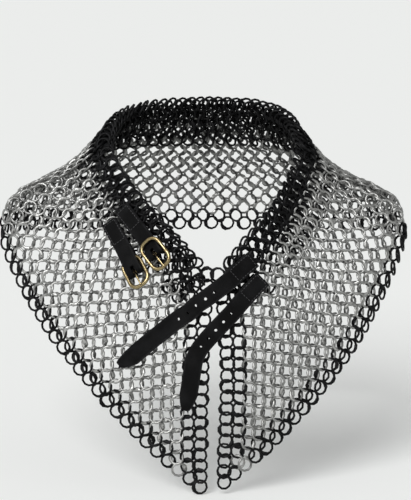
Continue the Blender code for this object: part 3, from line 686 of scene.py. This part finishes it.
def finish_named(name, build, colour):
    """A material by name, built the first time it is asked for."""
    return bpy.data.materials.get(name) or build(colour)


def strap_finishes(trim):
    """The straps' leather and thread."""
    return (finish_named("strap_leather", leather_finish, trim.leather_colour),
            finish_named("waxed_thread", thread_finish, trim.thread_colour))


def woven_places(rows, reach):
    """Columns and rows of the weave's places up to a column on both sides."""
    row, column = np.meshgrid(rows, np.arange(-reach, reach + 1), indexing="ij")
    return np.array([column, row])[:, (row + column) % 2 == 0]


def ring_places():
    """Columns and rows of the bright rings and of each kind of dark rings."""
    places = woven_places(np.arange(HEM_ROW + 1), TIP_COLUMN)
    from_front = THROAT_COLUMN + places[1] - np.abs(places[0])
    places, from_front = places[:, from_front >= 0], from_front[from_front >= 0]
    column, row = places
    rim = row < DARK_RIM_ROWS
    hem = ~rim & (row > HEM_ROW - DARK_HEM_ROWS)
    front = ~rim & ~hem & (from_front < 2 * DARK_FRONT_RINGS)
    odd = [((column == c) & (row == r)) for c, r in ODD_BRIGHT_RINGS]
    bright = ~(rim | hem | front) | np.any(odd, axis=0)
    turned = woven_places(-1 - np.arange(TURNED_ROWS), THROAT_COLUMN)
    return {"bright": places[:, bright],
            "rim": np.hstack([places[:, rim & ~bright], turned]),
            "hem": places[:, hem & ~bright], "front": places[:, front & ~bright]}


def turned_rim(column, row):
    """Centres and axes of rings near the rim. Above the turn's row the mail turns inwards on
    an arc of TURN_RADIUS, and past the half turn it runs straight down inside."""
    start = np.interp(np.abs(column), TURN_COLUMNS, TURN_ROWS)
    round_, down, outward = mail_axes(column, np.maximum(row, 0))
    centre = mail_point(column, np.maximum(row, start))
    pitch = np.linalg.norm(mail_point(column, 1) - mail_point(column, 0), axis=-1)
    past = np.maximum(start - row, 0) * pitch
    angle = np.minimum(past / TURN_RADIUS, math.pi)[:, None]
    inside = np.maximum(past - math.pi * TURN_RADIUS, 0)[:, None]
    centre = (centre + TURN_RADIUS * ((np.cos(angle) - 1) * outward - np.sin(angle) * down)
              + inside * down)
    turned_down = np.cos(angle) * down + np.sin(angle) * outward
    turned_out = np.cos(angle) * outward - np.sin(angle) * down
    return centre, round_, turned_down, turned_out


def rings(column, row, weave, seed):
    """Many rings as one set of points and quads. A ring is a wire carried round a circle in
    the plane of its column's direction, turned about it one way in even columns and back in
    odd ones. At its lap the wire is hammered wide and carries a domed rivet."""
    count = len(column)
    draw = np.random.default_rng(seed)
    centre, round_, down, outward = turned_rim(column.astype(float), row.astype(float))
    level = np.maximum(row, 0)
    step = np.linalg.norm(mail_point(column + 1, level) - mail_point(column - 1, level),
                          axis=-1) / 2
    tilt = np.interp(step, PITCH_KNOTS, TILT_KNOTS)
    loose = (row == HEM_ROW) | (THROAT_COLUMN + row - np.abs(column) == 0)
    tilt = np.where(loose, EDGE_TILT, tilt)
    fall = unit(down + LOOSE_FALL * loose[:, None] * np.array((0, 0, -1)))
    radius = (weave.ring_bore + weave.wire) / 2
    centre = centre + radius * (fall - down)
    round_ = square_to(fall, round_)
    down, outward = fall, np.cross(round_, fall)
    tilt = tilt + draw.normal(0, RING_WOBBLE, count)
    sign = np.where(column % 2, 1, -1)
    turn = (tilt * sign)[:, None]
    mid = centre
    centre = centre + draw.normal(0, weave.unevenness, (count, 3))
    lean = draw.normal(0, RING_WOBBLE, count)[:, None]
    side = np.cos(turn) * round_ + np.sin(turn) * outward
    down = unit(down + lean * outward)
    side = square_to(down, side)
    square = np.cross(down, side)

    outside = draw.random(count) < weave.visible_laps
    lap = (np.where(outside, 1, -1) * sign * math.pi / 2
           + draw.uniform(-1, 1, count) * LAP_SPREAD)
    hand = np.where(draw.random(count) < 0.5, 1, -1)[:, None]
    angle = lap[:, None] + LAP_STATIONS[None, :] * hand
    spoke = (np.cos(angle)[..., None] * down[:, None, :]
             + np.sin(angle)[..., None] * side[:, None, :])
    above = np.where((square * outward).sum(-1) > 0, 1, -1)[:, None]
    up = square * above
    facet = circle(WIRE_SIDES, 0.5) + math.pi / 2
    corner = weave.wire / 2 * WIRE_FULLNESS
    width = corner * LAP_WIDTHS[:, None] * np.cos(facet)
    depth = corner * LAP_DEPTHS[:, None] * np.sin(facet)
    wires = (centre[:, None, None, :]
             + (radius + width)[None, :, :, None] * spoke[:, :, None, :]
             + depth[None, :, :, None] * up[:, None, None, :])
    stations = len(LAP_STATIONS)
    per_ring = stations * WIRE_SIDES
    faces = repeated(grid_quads(stations, WIRE_SIDES, True, True), per_ring, count)

    head = centre + radius * (np.cos(lap)[:, None] * down + np.sin(lap)[:, None] * side)
    reach = corner * LAP_DEPTHS.max() * np.sin(facet).max()
    spread = np.array((1.0, 0.0))
    rise = np.array((-0.3, 1.0))
    bend = circle(RIVET_SIDES)
    flat = (np.cos(bend)[:, None, None] * down + np.sin(bend)[:, None, None] * side)
    dome = (head[None, None] + up * (reach + RIVET_HEIGHT * rise)[:, None, None, None]
            + RIVET_RADIUS * spread[:, None, None, None] * flat[None])
    dome = np.moveaxis(dome, 2, 0)
    per_dome = len(rise) * RIVET_SIDES
    domes = repeated(grid_quads(len(rise), RIVET_SIDES, False, True), per_dome, count)

    # How far a point stands out from the middle of the mail; the bright steel paints shade
    # where it lies back
    def stand_off(places):
        off = (places - mid[:, None, None, :]) * outward[:, None, None, :]
        return off.sum(-1).ravel() / MAIL_THICKNESS * 2

    tone = draw.random(count)
    points = np.concatenate([wires.reshape(-1, 3), dome.reshape(-1, 3)])
    faces = np.concatenate([faces, domes + count * per_ring])
    marks = {
        "tone": np.concatenate([np.repeat(tone, per_ring), np.repeat(tone, per_dome)]),
        "lap": np.concatenate([np.tile(np.repeat(LAP_MARKS, WIRE_SIDES), count),
                               np.ones(count * per_dome)]),
        "rivet": np.concatenate([np.zeros(count * per_ring), np.ones(count * per_dome)]),
        "stand": np.concatenate([stand_off(wires), stand_off(dome)]),
    }
    return points, faces.tolist(), marks


def add_rings(name, places, finish, replaced, seed):
    points, faces, marks = rings(*places, bpy.context.scene.mail_collar_weave, seed)
    join_poles(add_piece(name, points, faces, finish, "collar", replaced, marks))


def edit_mesh(item, edit):
    """Runs an edit on a piece's points and faces."""
    work = bmesh.new()
    work.from_mesh(item.data)
    edit(work)
    work.to_mesh(item.data)
    work.free()


def join_poles(item):
    """Merges points that meet, as at the top of each rivet, and turns all faces outwards."""
    def edit(work):
        bmesh.ops.remove_doubles(work, verts=work.verts, dist=MERGE_DISTANCE)
        bmesh.ops.recalc_face_normals(work, faces=work.faces)
    edit_mesh(item, edit)


def drop_loose_points(item):
    """Removes the grid points that no face uses."""
    def edit(work):
        loose = [point for point in work.verts if not point.link_faces]
        bmesh.ops.delete(work, geom=loose, context="VERTS")
    edit_mesh(item, edit)


def on_mail(column, row, height):
    """A point that stands off the outer face of the mail by a height."""
    outward = mail_axes(column, row)[2]
    return mail_point(column, row) + (MAIL_THICKNESS / 2 + JOIN_GAP + height) * outward


def strap_curve(places, height):
    """A smooth curve on the mail through places, as dense samples of place, normal and
    length so far."""
    columns, rows = np.array(places, float).T
    points = on_mail(columns, rows, height)
    knots = distances(points)
    dense = np.linspace(0, knots[-1], CURVE_SAMPLES)

    def smooth(vectors):
        return np.stack([along(knots, vectors[:, k], dense, level_start=False)
                         for k in range(3)], axis=-1)

    line = smooth(points)
    return line, unit(smooth(mail_axes(columns, rows)[2])), distances(line)


def frames_at(curve, lengths_along):
    """Place, direction, normal and side vectors at lengths along a curve."""
    line, faced, so_far = curve
    wanted = np.asarray(lengths_along, float)

    def sample(values, where):
        return np.stack([np.interp(where, so_far, values[:, k]) for k in range(3)], axis=-1)

    step = 0.001
    ahead = unit(sample(line, wanted + step) - sample(line, wanted - step))
    normal = square_to(ahead, sample(faced, wanted))
    return sample(line, wanted), ahead, normal, np.cross(normal, ahead)


def width_lines(half):
    """Lines along a strap, a grid step apart from its middle, with one at each edge."""
    steps = np.arange(0, half - GRID_STEP / 2, GRID_STEP)
    return np.concatenate([-half - 0 * steps[:1], -steps[:0:-1], steps, half + 0 * steps[:1]])


def creased(across, half):
    """A small groove along both edges of a strap, as a height."""
    off = np.abs(np.abs(across) - (half - CREASE_INSET))
    return -CREASE_DEPTH * ease(CREASE_SPREAD, 0, off)


def round_holes(length, across, centres):
    """Draws the square of grid lines round each hole's middle out into a circle, and fades
    back to the even grid one radius further out."""
    for middle in centres:
        x, y = length - middle, across
        square = np.maximum(np.abs(x), np.abs(y))
        radius = np.maximum(np.hypot(x, y), NO_DISTANCE)
        fade = ease(HOLE_RADIUS, 2 * HOLE_RADIUS, square)
        factor = square / radius * (1 - fade) + fade
        length, across = middle + x * factor, y * factor
    return length, across


def add_leather(name, points, quads, finish, body, replaced, edge, thickness):
    """Makes a leather piece of a surface, and gives it its thickness and broken edges. Its
    mark tells how near to the edge a point lies."""
    item = add_piece(name + "_leather", points, quads.tolist(), finish, body, replaced,
                     {"edge": edge})
    drop_loose_points(item)
    wall = item.modifiers.new("Thickness", "SOLIDIFY")
    wall.thickness = thickness
    wall.offset = 0
    wall.use_even_offset = True
    bevel = item.modifiers.new("Broken edges", "BEVEL")
    bevel.width = BROKEN_EDGE
    bevel.segments = 2
    bevel.limit_method = "ANGLE"
    bevel.angle_limit = SHARP_ANGLE
    return item


def stitches(curve, spots, height):
    """Thread stitches as small capsules. A spot is a length along a curve, a place across it
    and whether the stitch runs across. A capsule is a circle carried along its length, with
    its radius falling to nothing at both ends."""
    spots = np.array(spots, float)
    place, ahead, normal, side = frames_at(curve, spots[:, 0])
    crosswise = spots[:, 2:3]
    run = unit(ahead * (1 - crosswise) + side * crosswise)
    beside = np.cross(normal, run)
    middle = place + spots[:, 1:2] * side + height * normal
    share = np.array(STITCH_SHARES)
    swell = np.array(STITCH_SWELL) * STITCH_RADIUS
    turn = circle(STITCH_SIDES)
    ring = (np.cos(turn)[:, None] * beside[:, None, :]
            + np.sin(turn)[:, None] * normal[:, None, :])
    points = (middle[:, None, None, :]
              + (STITCH_LENGTH / 2 * share)[None, :, None, None] * run[:, None, None, :]
              + swell[None, :, None, None] * ring[:, None, :, :])
    faces = repeated(grid_quads(len(share), STITCH_SIDES, False, True),
                     len(share) * STITCH_SIDES, len(spots))
    return points, faces.tolist()


def box_of_stitches(half):
    """Spots of stitches round an oblong near the edges of a strap's sewn end."""
    reach = half - STITCH_INSET
    rows = np.arange(STITCH_START, STITCHED_END - STITCH_START + STITCH_PITCH / 4, STITCH_PITCH)
    columns = np.arange(-reach + STITCH_PITCH / 2, reach, STITCH_PITCH)
    spots = [(length, edge, 0) for edge in (-reach, reach) for length in rows]
    ends = (rows[0] - STITCH_PITCH / 2, rows[-1] + STITCH_PITCH / 2)
    return spots + [(length, place, 1) for length in ends for place in columns]


def add_stitches(name, curve, half, height, finish):
    points, faces = stitches(curve, box_of_stitches(half), height)
    join_poles(add_piece(name, points, faces, finish, "collar", ()))


def strap_half_width(length, total, half, bias):
    """Half width towards one side of a strap that narrows to a point at its end."""
    share = np.clip((total - length) / POINT_LENGTH, 0, 1)
    return POINT_HALF_WIDTH + bias + (half - POINT_HALF_WIDTH - bias) * np.sqrt(share)


def add_long_strap(name, values, finish, thread):
    """A long strap as one leather surface over length and width, from its sewn end to its
    point, with round punched holes."""
    curve = strap_curve(values["places"], 0)
    total = curve[2][-1]
    half = STRAP_WIDTH / 2
    first = values["first_hole"]
    before = np.arange(int(first / GRID_STEP), 0, -1)
    after = np.arange(0, int((total - first) / GRID_STEP))
    length = np.concatenate([[0], first - before * GRID_STEP, first + after * GRID_STEP,
                             [total]])
    length, across = np.meshgrid(length, width_lines(half), indexing="ij")
    centres = first + HOLE_PITCH * np.arange(HOLES)
    inside = np.zeros(length.shape, bool)
    for middle in centres:
        square = np.maximum(np.abs(length - middle), np.abs(across))
        inside |= square < HOLE_RADIUS - GRID_STEP / 4
    length, across = round_holes(length, across, centres)
    share = across / half
    left = strap_half_width(length, total, half, -values["bias"])
    right = strap_half_width(length, total, half, values["bias"])
    offset = (share + 1) / 2 * (left + right) - right
    place, _, normal, side = frames_at(curve, length.ravel())
    height = STRAP_LEATHER / 2 + creased(across, half).ravel()
    points = place + offset.ravel()[:, None] * side + height[:, None] * normal
    quads = grid_quads(*length.shape)
    made = add_leather(name, points, quads[~inside.ravel()[quads].any(axis=1)], finish, None,
                       (name, name + "_stitched_end"), np.abs(share), STRAP_LEATHER)
    hinge, ahead, _, _ = (row[0] for row in frames_at(curve, [STITCHED_END]))
    tuple(hinge - 0.002 * ahead)
    tuple(hinge + 0.006 * ahead)
    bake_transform(made)
    add_stitches(name + "_stitches", curve, half, STRAP_LEATHER, thread)


def buckle_seat(curve):
    """Where a buckle strap leaves the mail, and its directions ahead, across and up."""
    start, _, normal, _ = frames_at(curve, [STITCHED_END])
    foot = frames_at(curve, [curve[2][-1]])[0][0] + FOOT_RISE * normal[0]
    ahead = unit(foot - start[0])
    up = square_to(ahead, normal[0])
    return start[0], ahead, np.cross(up, ahead), up


def add_buckle_strap(name, values, finish, thread):
    """A folded strap as one leather surface: under layer, fold round the bar and over layer,
    with a slot for the prong."""
    curve = strap_curve(values["places"], 0)
    half = BUCKLE_STRAP_WIDTH / 2
    start, ahead, across, up = buckle_seat(curve)
    on = np.arange(0, STITCHED_END - BROKEN_EDGE, SEWN_STEP)
    place, _, normal, side = frames_at(curve, on)
    slot_start = 1 - SLOT_REACH / BUCKLE_REACH
    free = np.concatenate([np.linspace(FREE_START, slot_start, FREE_STEPS), FREE_ENDS])
    under = BAR_HEIGHT * along(FOLD_PLACE_SHARES, UNDER_SHARES, free) + LEATHER / 2
    over = BAR_HEIGHT * along(FOLD_PLACE_SHARES, values["over"], free) - LEATHER / 2
    turn = np.linspace(-math.pi / 2, math.pi / 2, FOLD_STEPS)
    radius = BAR_RADIUS + PLAY + LEATHER / 2
    x = np.concatenate([BUCKLE_REACH * free, BUCKLE_REACH + radius * np.cos(turn),
                        BUCKLE_REACH * free[::-1]])
    h = np.concatenate([under, BAR_HEIGHT + radius * np.sin(turn), over[::-1]])
    loose = start + x[:, None] * ahead + h[:, None] * up
    line = np.concatenate([place + LEATHER / 2 * normal, loose,
                           (place + LEATHER * 1.5 * normal)[::-1]])
    sides = np.concatenate([side, np.tile(across, (len(loose), 1)), side[::-1]])
    outer = np.array(ACROSS_SHARES) * half
    lines = np.concatenate([-outer[::-1], [-SLOT_HALF_WIDTH, 0, SLOT_HALF_WIDTH], outer])
    points = line[:, None, :] + lines[None, :, None] * sides[:, None, :]
    quads = grid_quads(len(line), len(lines))
    row, column = quads[:, 0] // len(lines), quads[:, 0] % len(lines)
    before_slot = np.searchsorted(free, slot_start)
    first = len(on) + before_slot
    last = len(on) + 2 * len(free) + len(turn) - before_slot - 1
    beside = np.minimum(column + 1, len(lines) - 1)
    narrow = np.abs(lines[column] + lines[beside]) < 2 * SLOT_HALF_WIDTH
    slot = (row >= first) & (row < last) & narrow
    made = add_leather(name, points, quads[~slot], finish, None,
                       (name + "_strap", name + "_strap_stitched_end"),
                       np.tile(np.abs(lines) / half, len(line)), LEATHER - LAYER_SLACK)
    tuple(start - 0.0015 * ahead)
    tuple(start + 0.003 * ahead)
    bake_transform(made)
    add_stitches(name + "_stitches", curve, half, 2 * LEATHER, thread)


def add_backing(name, places, width, finish):
    """The patch behind the mail that the stitches of a strap's end go through."""
    curve = strap_curve(places, -(MAIL_THICKNESS + 2 * JOIN_GAP + BACKING_LEATHER))
    half = width / 2
    length, across = np.meshgrid(np.linspace(0, STITCHED_END, BACKING_LINES),
                                 width_lines(half), indexing="ij")
    place, _, normal, side = frames_at(curve, length.ravel())
    points = place + across.ravel()[:, None] * side + BACKING_LEATHER / 2 * normal
    add_leather(name, points, grid_quads(*length.shape), finish, "collar", (name,),
                np.abs(across) / half, BACKING_LEATHER)


def tube(path, radii, sides, closed, upright):
    """A round wire carried along a path that keeps to one plane, square to upright."""
    path = np.asarray(path, float)
    if closed:
        ahead = unit(np.roll(path, -1, axis=0) - np.roll(path, 1, axis=0))
    else:
        ahead = unit(np.gradient(path, axis=0))
    beside = np.cross(upright, ahead)
    turn = circle(sides)
    spokes = (np.cos(turn)[None, :, None] * beside[:, None, :]
              + np.sin(turn)[None, :, None] * np.asarray(upright, float))
    points = path[:, None, :] + np.broadcast_to(radii, len(path))[:, None, None] * spokes
    faces = grid_quads(len(path), sides, closed, True).tolist()
    if not closed:
        last = (len(path) - 1) * sides
        faces += [list(range(sides - 1, -1, -1)), [last + k for k in range(sides)]]
    return points.reshape(-1, 3), faces


def frame_path():
    """The centre line of a buckle's frame: a rounded oblong, along and across the strap."""
    reach = FRAME_LENGTH / 2 - FRAME_RADIUS - FRAME_CORNER
    side = BUCKLE_STRAP_WIDTH / 2 + FRAME_SIDE_GAP + FRAME_RADIUS - FRAME_CORNER
    turn = math.pi / 2 * np.linspace(0, 1, CORNER_POINTS)
    corners = enumerate(((1, 1), (-1, 1), (-1, -1), (1, -1)))
    path = [np.stack([a * reach + FRAME_CORNER * np.cos(turn + quarter * math.pi / 2),
                      b * side + FRAME_CORNER * np.sin(turn + quarter * math.pi / 2),
                      0 * turn], axis=-1) for quarter, (a, b) in corners]
    return np.concatenate(path)


def prong_path():
    """The centre line of a prong: a loop round the bar, then a straight run to its tip, in
    the plane along and above the strap."""
    loop = BAR_RADIUS + PLAY + PRONG_RADIUS
    turn = LOOP_START - LOOP_SWEEP * np.linspace(0, 1, LOOP_POINTS)
    tip = FRAME_LENGTH / 2 - FRAME_RADIUS + PRONG_OVERHANG
    shank = np.linspace(SHANK_START, 1, SHANK_POINTS) * tip
    x = np.concatenate([loop * np.cos(turn), shank])
    z = np.concatenate([loop * np.sin(turn), np.full(SHANK_POINTS, loop)])
    return np.stack([x, 0 * x, z], axis=-1)


def add_buckle(name, values, finish):
    """A brass frame with its middle bar, and the prong that swings on the bar, with painted
    shade and some grime near its loop, where it lies within the leather."""
    start, ahead, across, up = buckle_seat(strap_curve(values["places"], 0))
    bar = start + BUCKLE_REACH * ahead + BAR_HEIGHT * up
    tilt = values["tilt"]
    ahead, up = (math.cos(tilt) * ahead + math.sin(tilt) * up,
                 math.cos(tilt) * up - math.sin(tilt) * ahead)

    def seated(points):
        return bar + points @ np.array([ahead, across, up])

    path = frame_path()
    swell = (FRAME_RADIUS * FRAME_FULLNESS
             * (1 + FRAME_SWELL * ease(SWELL_START, 1, path[:, 0] / path[:, 0].max())))
    span = BUCKLE_STRAP_WIDTH / 2 + FRAME_SIDE_GAP + FRAME_RADIUS
    middle = np.linspace((0, -span, 0), (0, span, 0), BAR_POINTS)
    points, faces = tube(path, swell, FRAME_SIDES, True, (0, 0, 1))
    bar_points, bar_faces = tube(middle, BAR_RADIUS, FRAME_SIDES, False, (0, 0, 1))
    faces += [[len(points) + corner for corner in face] for face in bar_faces]
    points = np.concatenate([points, bar_points])
    add_piece(name + "_frame_brass", seated(points), faces, finish, values["frame_body"],
              (name + "_frame",))
    path = prong_path()
    taper = np.linspace(*SHANK_TAPER, SHANK_POINTS - 1)
    radii = PRONG_RADIUS * np.concatenate([np.ones(LOOP_POINTS), taper, [PRONG_TIP]])
    points, faces = tube(path, radii, PRONG_SIDES, False, (0, 1, 0))
    # Painted shade, with some grime, near the loop that lies within the folded leather
    loop_shade_and_grime = ease(SHADE_AND_GRIME_END, SHADE_AND_GRIME_START, points[:, 0])
    add_piece(name + "_prong_brass", seated(points), faces, finish, name + "_prong",
              (name + "_prong",), {"prong_shade_and_grime": loop_shade_and_grime})


class MAILCOLLAR_OT_bright_rings(bpy.types.Operator):
    """Weave the bright rings of the collar's field"""
    bl_idname = "mail_collar.bright_rings"
    bl_label = "Bright rings"

    def execute(self, context):
        weave = context.scene.mail_collar_weave
        steel = finish_named("bright_steel_wire", bright_steel_finish, weave.bright_colour)
        add_rings("bright_rings", ring_places()["bright"], steel,
                  ("mail_back", "mail_right", "mail_left"), BRIGHT_SEED)
        return {"FINISHED"}


class MAILCOLLAR_OT_dark_rings(bpy.types.Operator):
    """Weave the blackened rings along the rim, the hem and the front edges"""
    bl_idname = "mail_collar.dark_rings"
    bl_label = "Dark edging rings"

    def execute(self, context):
        weave = context.scene.mail_collar_weave
        steel = finish_named("blackened_steel_wire", blackened_steel_finish, weave.dark_colour)
        places = ring_places()
        for seed, (name, sides) in enumerate(EDGINGS.items(), DARK_SEED):
            add_rings(name + "_edging_rings", places[name], steel,
                      tuple(f"{name}_edging_{side}" for side in sides), seed)
        return {"FINISHED"}


class MAILCOLLAR_OT_long_straps(bpy.types.Operator):
    """Lay the two long straps with their holes, points and stitches"""
    bl_idname = "mail_collar.long_straps"
    bl_label = "Long straps"

    def execute(self, context):
        leather, thread = strap_finishes(context.scene.mail_collar_trim)
        for name, values in STRAPS.items():
            add_long_strap(name, values, leather, thread)
            add_backing(name + "_backing", values["places"], STRAP_WIDTH, leather)
        return {"FINISHED"}


class MAILCOLLAR_OT_buckle_straps(bpy.types.Operator):
    """Lay the two short straps that fold round the buckles' bars"""
    bl_idname = "mail_collar.buckle_straps"
    bl_label = "Buckle straps"

    def execute(self, context):
        leather, thread = strap_finishes(context.scene.mail_collar_trim)
        for name, values in BUCKLES.items():
            add_buckle_strap(name, values, leather, thread)
            add_backing(name + "_backing", values["places"], BUCKLE_STRAP_WIDTH, leather)
        return {"FINISHED"}


class MAILCOLLAR_OT_buckles(bpy.types.Operator):
    """Make the brass buckle frames and their prongs"""
    bl_idname = "mail_collar.buckles"
    bl_label = "Buckles"

    def execute(self, context):
        trim = context.scene.mail_collar_trim
        brass = finish_named("aged_brass", brass_finish, trim.brass_colour)
        for name, values in BUCKLES.items():
            add_buckle(name, values, brass)
        return {"FINISHED"}


class MAILCOLLAR_OT_stage(bpy.types.Operator):
    """Set up the floor, the light and the camera"""
    bl_idname = "mail_collar.stage"
    bl_label = "Stage"

    def execute(self, context):
        values = context.scene.mail_collar_stage
        scene = context.scene
        scene.view_settings.view_transform = "Standard"
        floor_level = CAD_BOX[0][2] - FLOOR_DEPTH
        lines = np.linspace(-FLOOR_HALF, FLOOR_HALF, FLOOR_POINTS)
        x, y = np.meshgrid(lines, lines, indexing="ij")
        points = np.stack([x, y, np.full_like(x, floor_level)], axis=-1)
        nodes = Finish("pale_floor", values.floor_colour, 0.9, 0.0, 0.1)
        seen = nodes.add("ShaderNodeLightPath", output="Is Camera Ray")
        glow = (values.floor_glow, values.floor_glow, values.floor_glow, 1)
        nodes.feed(nodes.shader, "Emission Strength", 1.0)
        nodes.feed(nodes.shader, "Emission Color", nodes.blend(seen, (0, 0, 0, 1), glow))
        floor = mesh_object("floor", points, grid_quads(FLOOR_POINTS, FLOOR_POINTS).tolist(),
                            nodes.made)

        world = bpy.data.worlds.new("studio")
        world.use_nodes = True
        scene.world = world
        nodes = Nodes(world.node_tree)
        seen = nodes.add("ShaderNodeLightPath", output="Is Camera Ray")
        background = world.node_tree.nodes["Background"]
        background.inputs["Color"].default_value = (*values.floor_colour, 1)
        nodes.feed(background, "Strength", values.light_level + (1 - values.light_level) * seen)

        lamp = bpy.data.lights.new("main_light", "SUN")
        lamp.energy = values.key_level
        lamp.angle = LAMP_ANGLE
        new_object("main_light", lamp).rotation_euler = LAMP_TURN

        lens = bpy.data.cameras.new("camera")
        lens.lens = values.lens
        lens.sensor_width = SENSOR_WIDTH
        lens.clip_end = VIEW_DEPTH
        camera = new_object("camera", lens)
        camera.location = CAMERA_PLACE
        camera.rotation_euler = (math.pi / 2 - values.camera_tilt, 0, 0)
        scene.camera = camera
        return {"FINISHED"}


OPERATORS = (MAILCOLLAR_OT_bright_rings, MAILCOLLAR_OT_dark_rings, MAILCOLLAR_OT_long_straps,
             MAILCOLLAR_OT_buckle_straps, MAILCOLLAR_OT_buckles, MAILCOLLAR_OT_stage)


class MAILCOLLAR_PT_pieces(bpy.types.Panel):
    """Lists the collar's pieces and their sizes and colours"""
    bl_idname = "MAILCOLLAR_PT_pieces"
    bl_label = "Mail collar"
    bl_space_type = "VIEW_3D"
    bl_region_type = "UI"
    bl_category = "Mail collar"

    def draw(self, context):
        for group in GROUPS:
            values = getattr(context.scene, group)
            box = self.layout.box()
            for name in values.__annotations__:
                box.prop(values, name)
        for operator in OPERATORS:
            self.layout.operator(operator.bl_idname)


GROUPS = {"mail_collar_weave": MailCollarWeave, "mail_collar_trim": MailCollarTrim,
          "mail_collar_stage": MailCollarStage}


def register():
    for item in (*GROUPS.values(), *OPERATORS, MAILCOLLAR_PT_pieces):
        bpy.utils.register_class(item)
    for name, group in GROUPS.items():
        setattr(bpy.types.Scene, name, PointerProperty(type=group))


def unregister():
    for name in GROUPS:
        delattr(bpy.types.Scene, name)
    for item in (MAILCOLLAR_PT_pieces, *OPERATORS, *GROUPS.values()):
        bpy.utils.unregister_class(item)


def main():
    """Builds every piece."""
    register()
    for item in list(bpy.data.objects):
        if item.type in ("LIGHT", "CAMERA"):
            bpy.data.objects.remove(item, do_unlink=True)
    bpy.ops.mail_collar.bright_rings()
    bpy.ops.mail_collar.dark_rings()
    bpy.ops.mail_collar.long_straps()
    bpy.ops.mail_collar.buckle_straps()
    bpy.ops.mail_collar.buckles()
    bpy.ops.mail_collar.stage()
    bpy.context.view_layer.update()


if __name__ == "__main__":
    main()
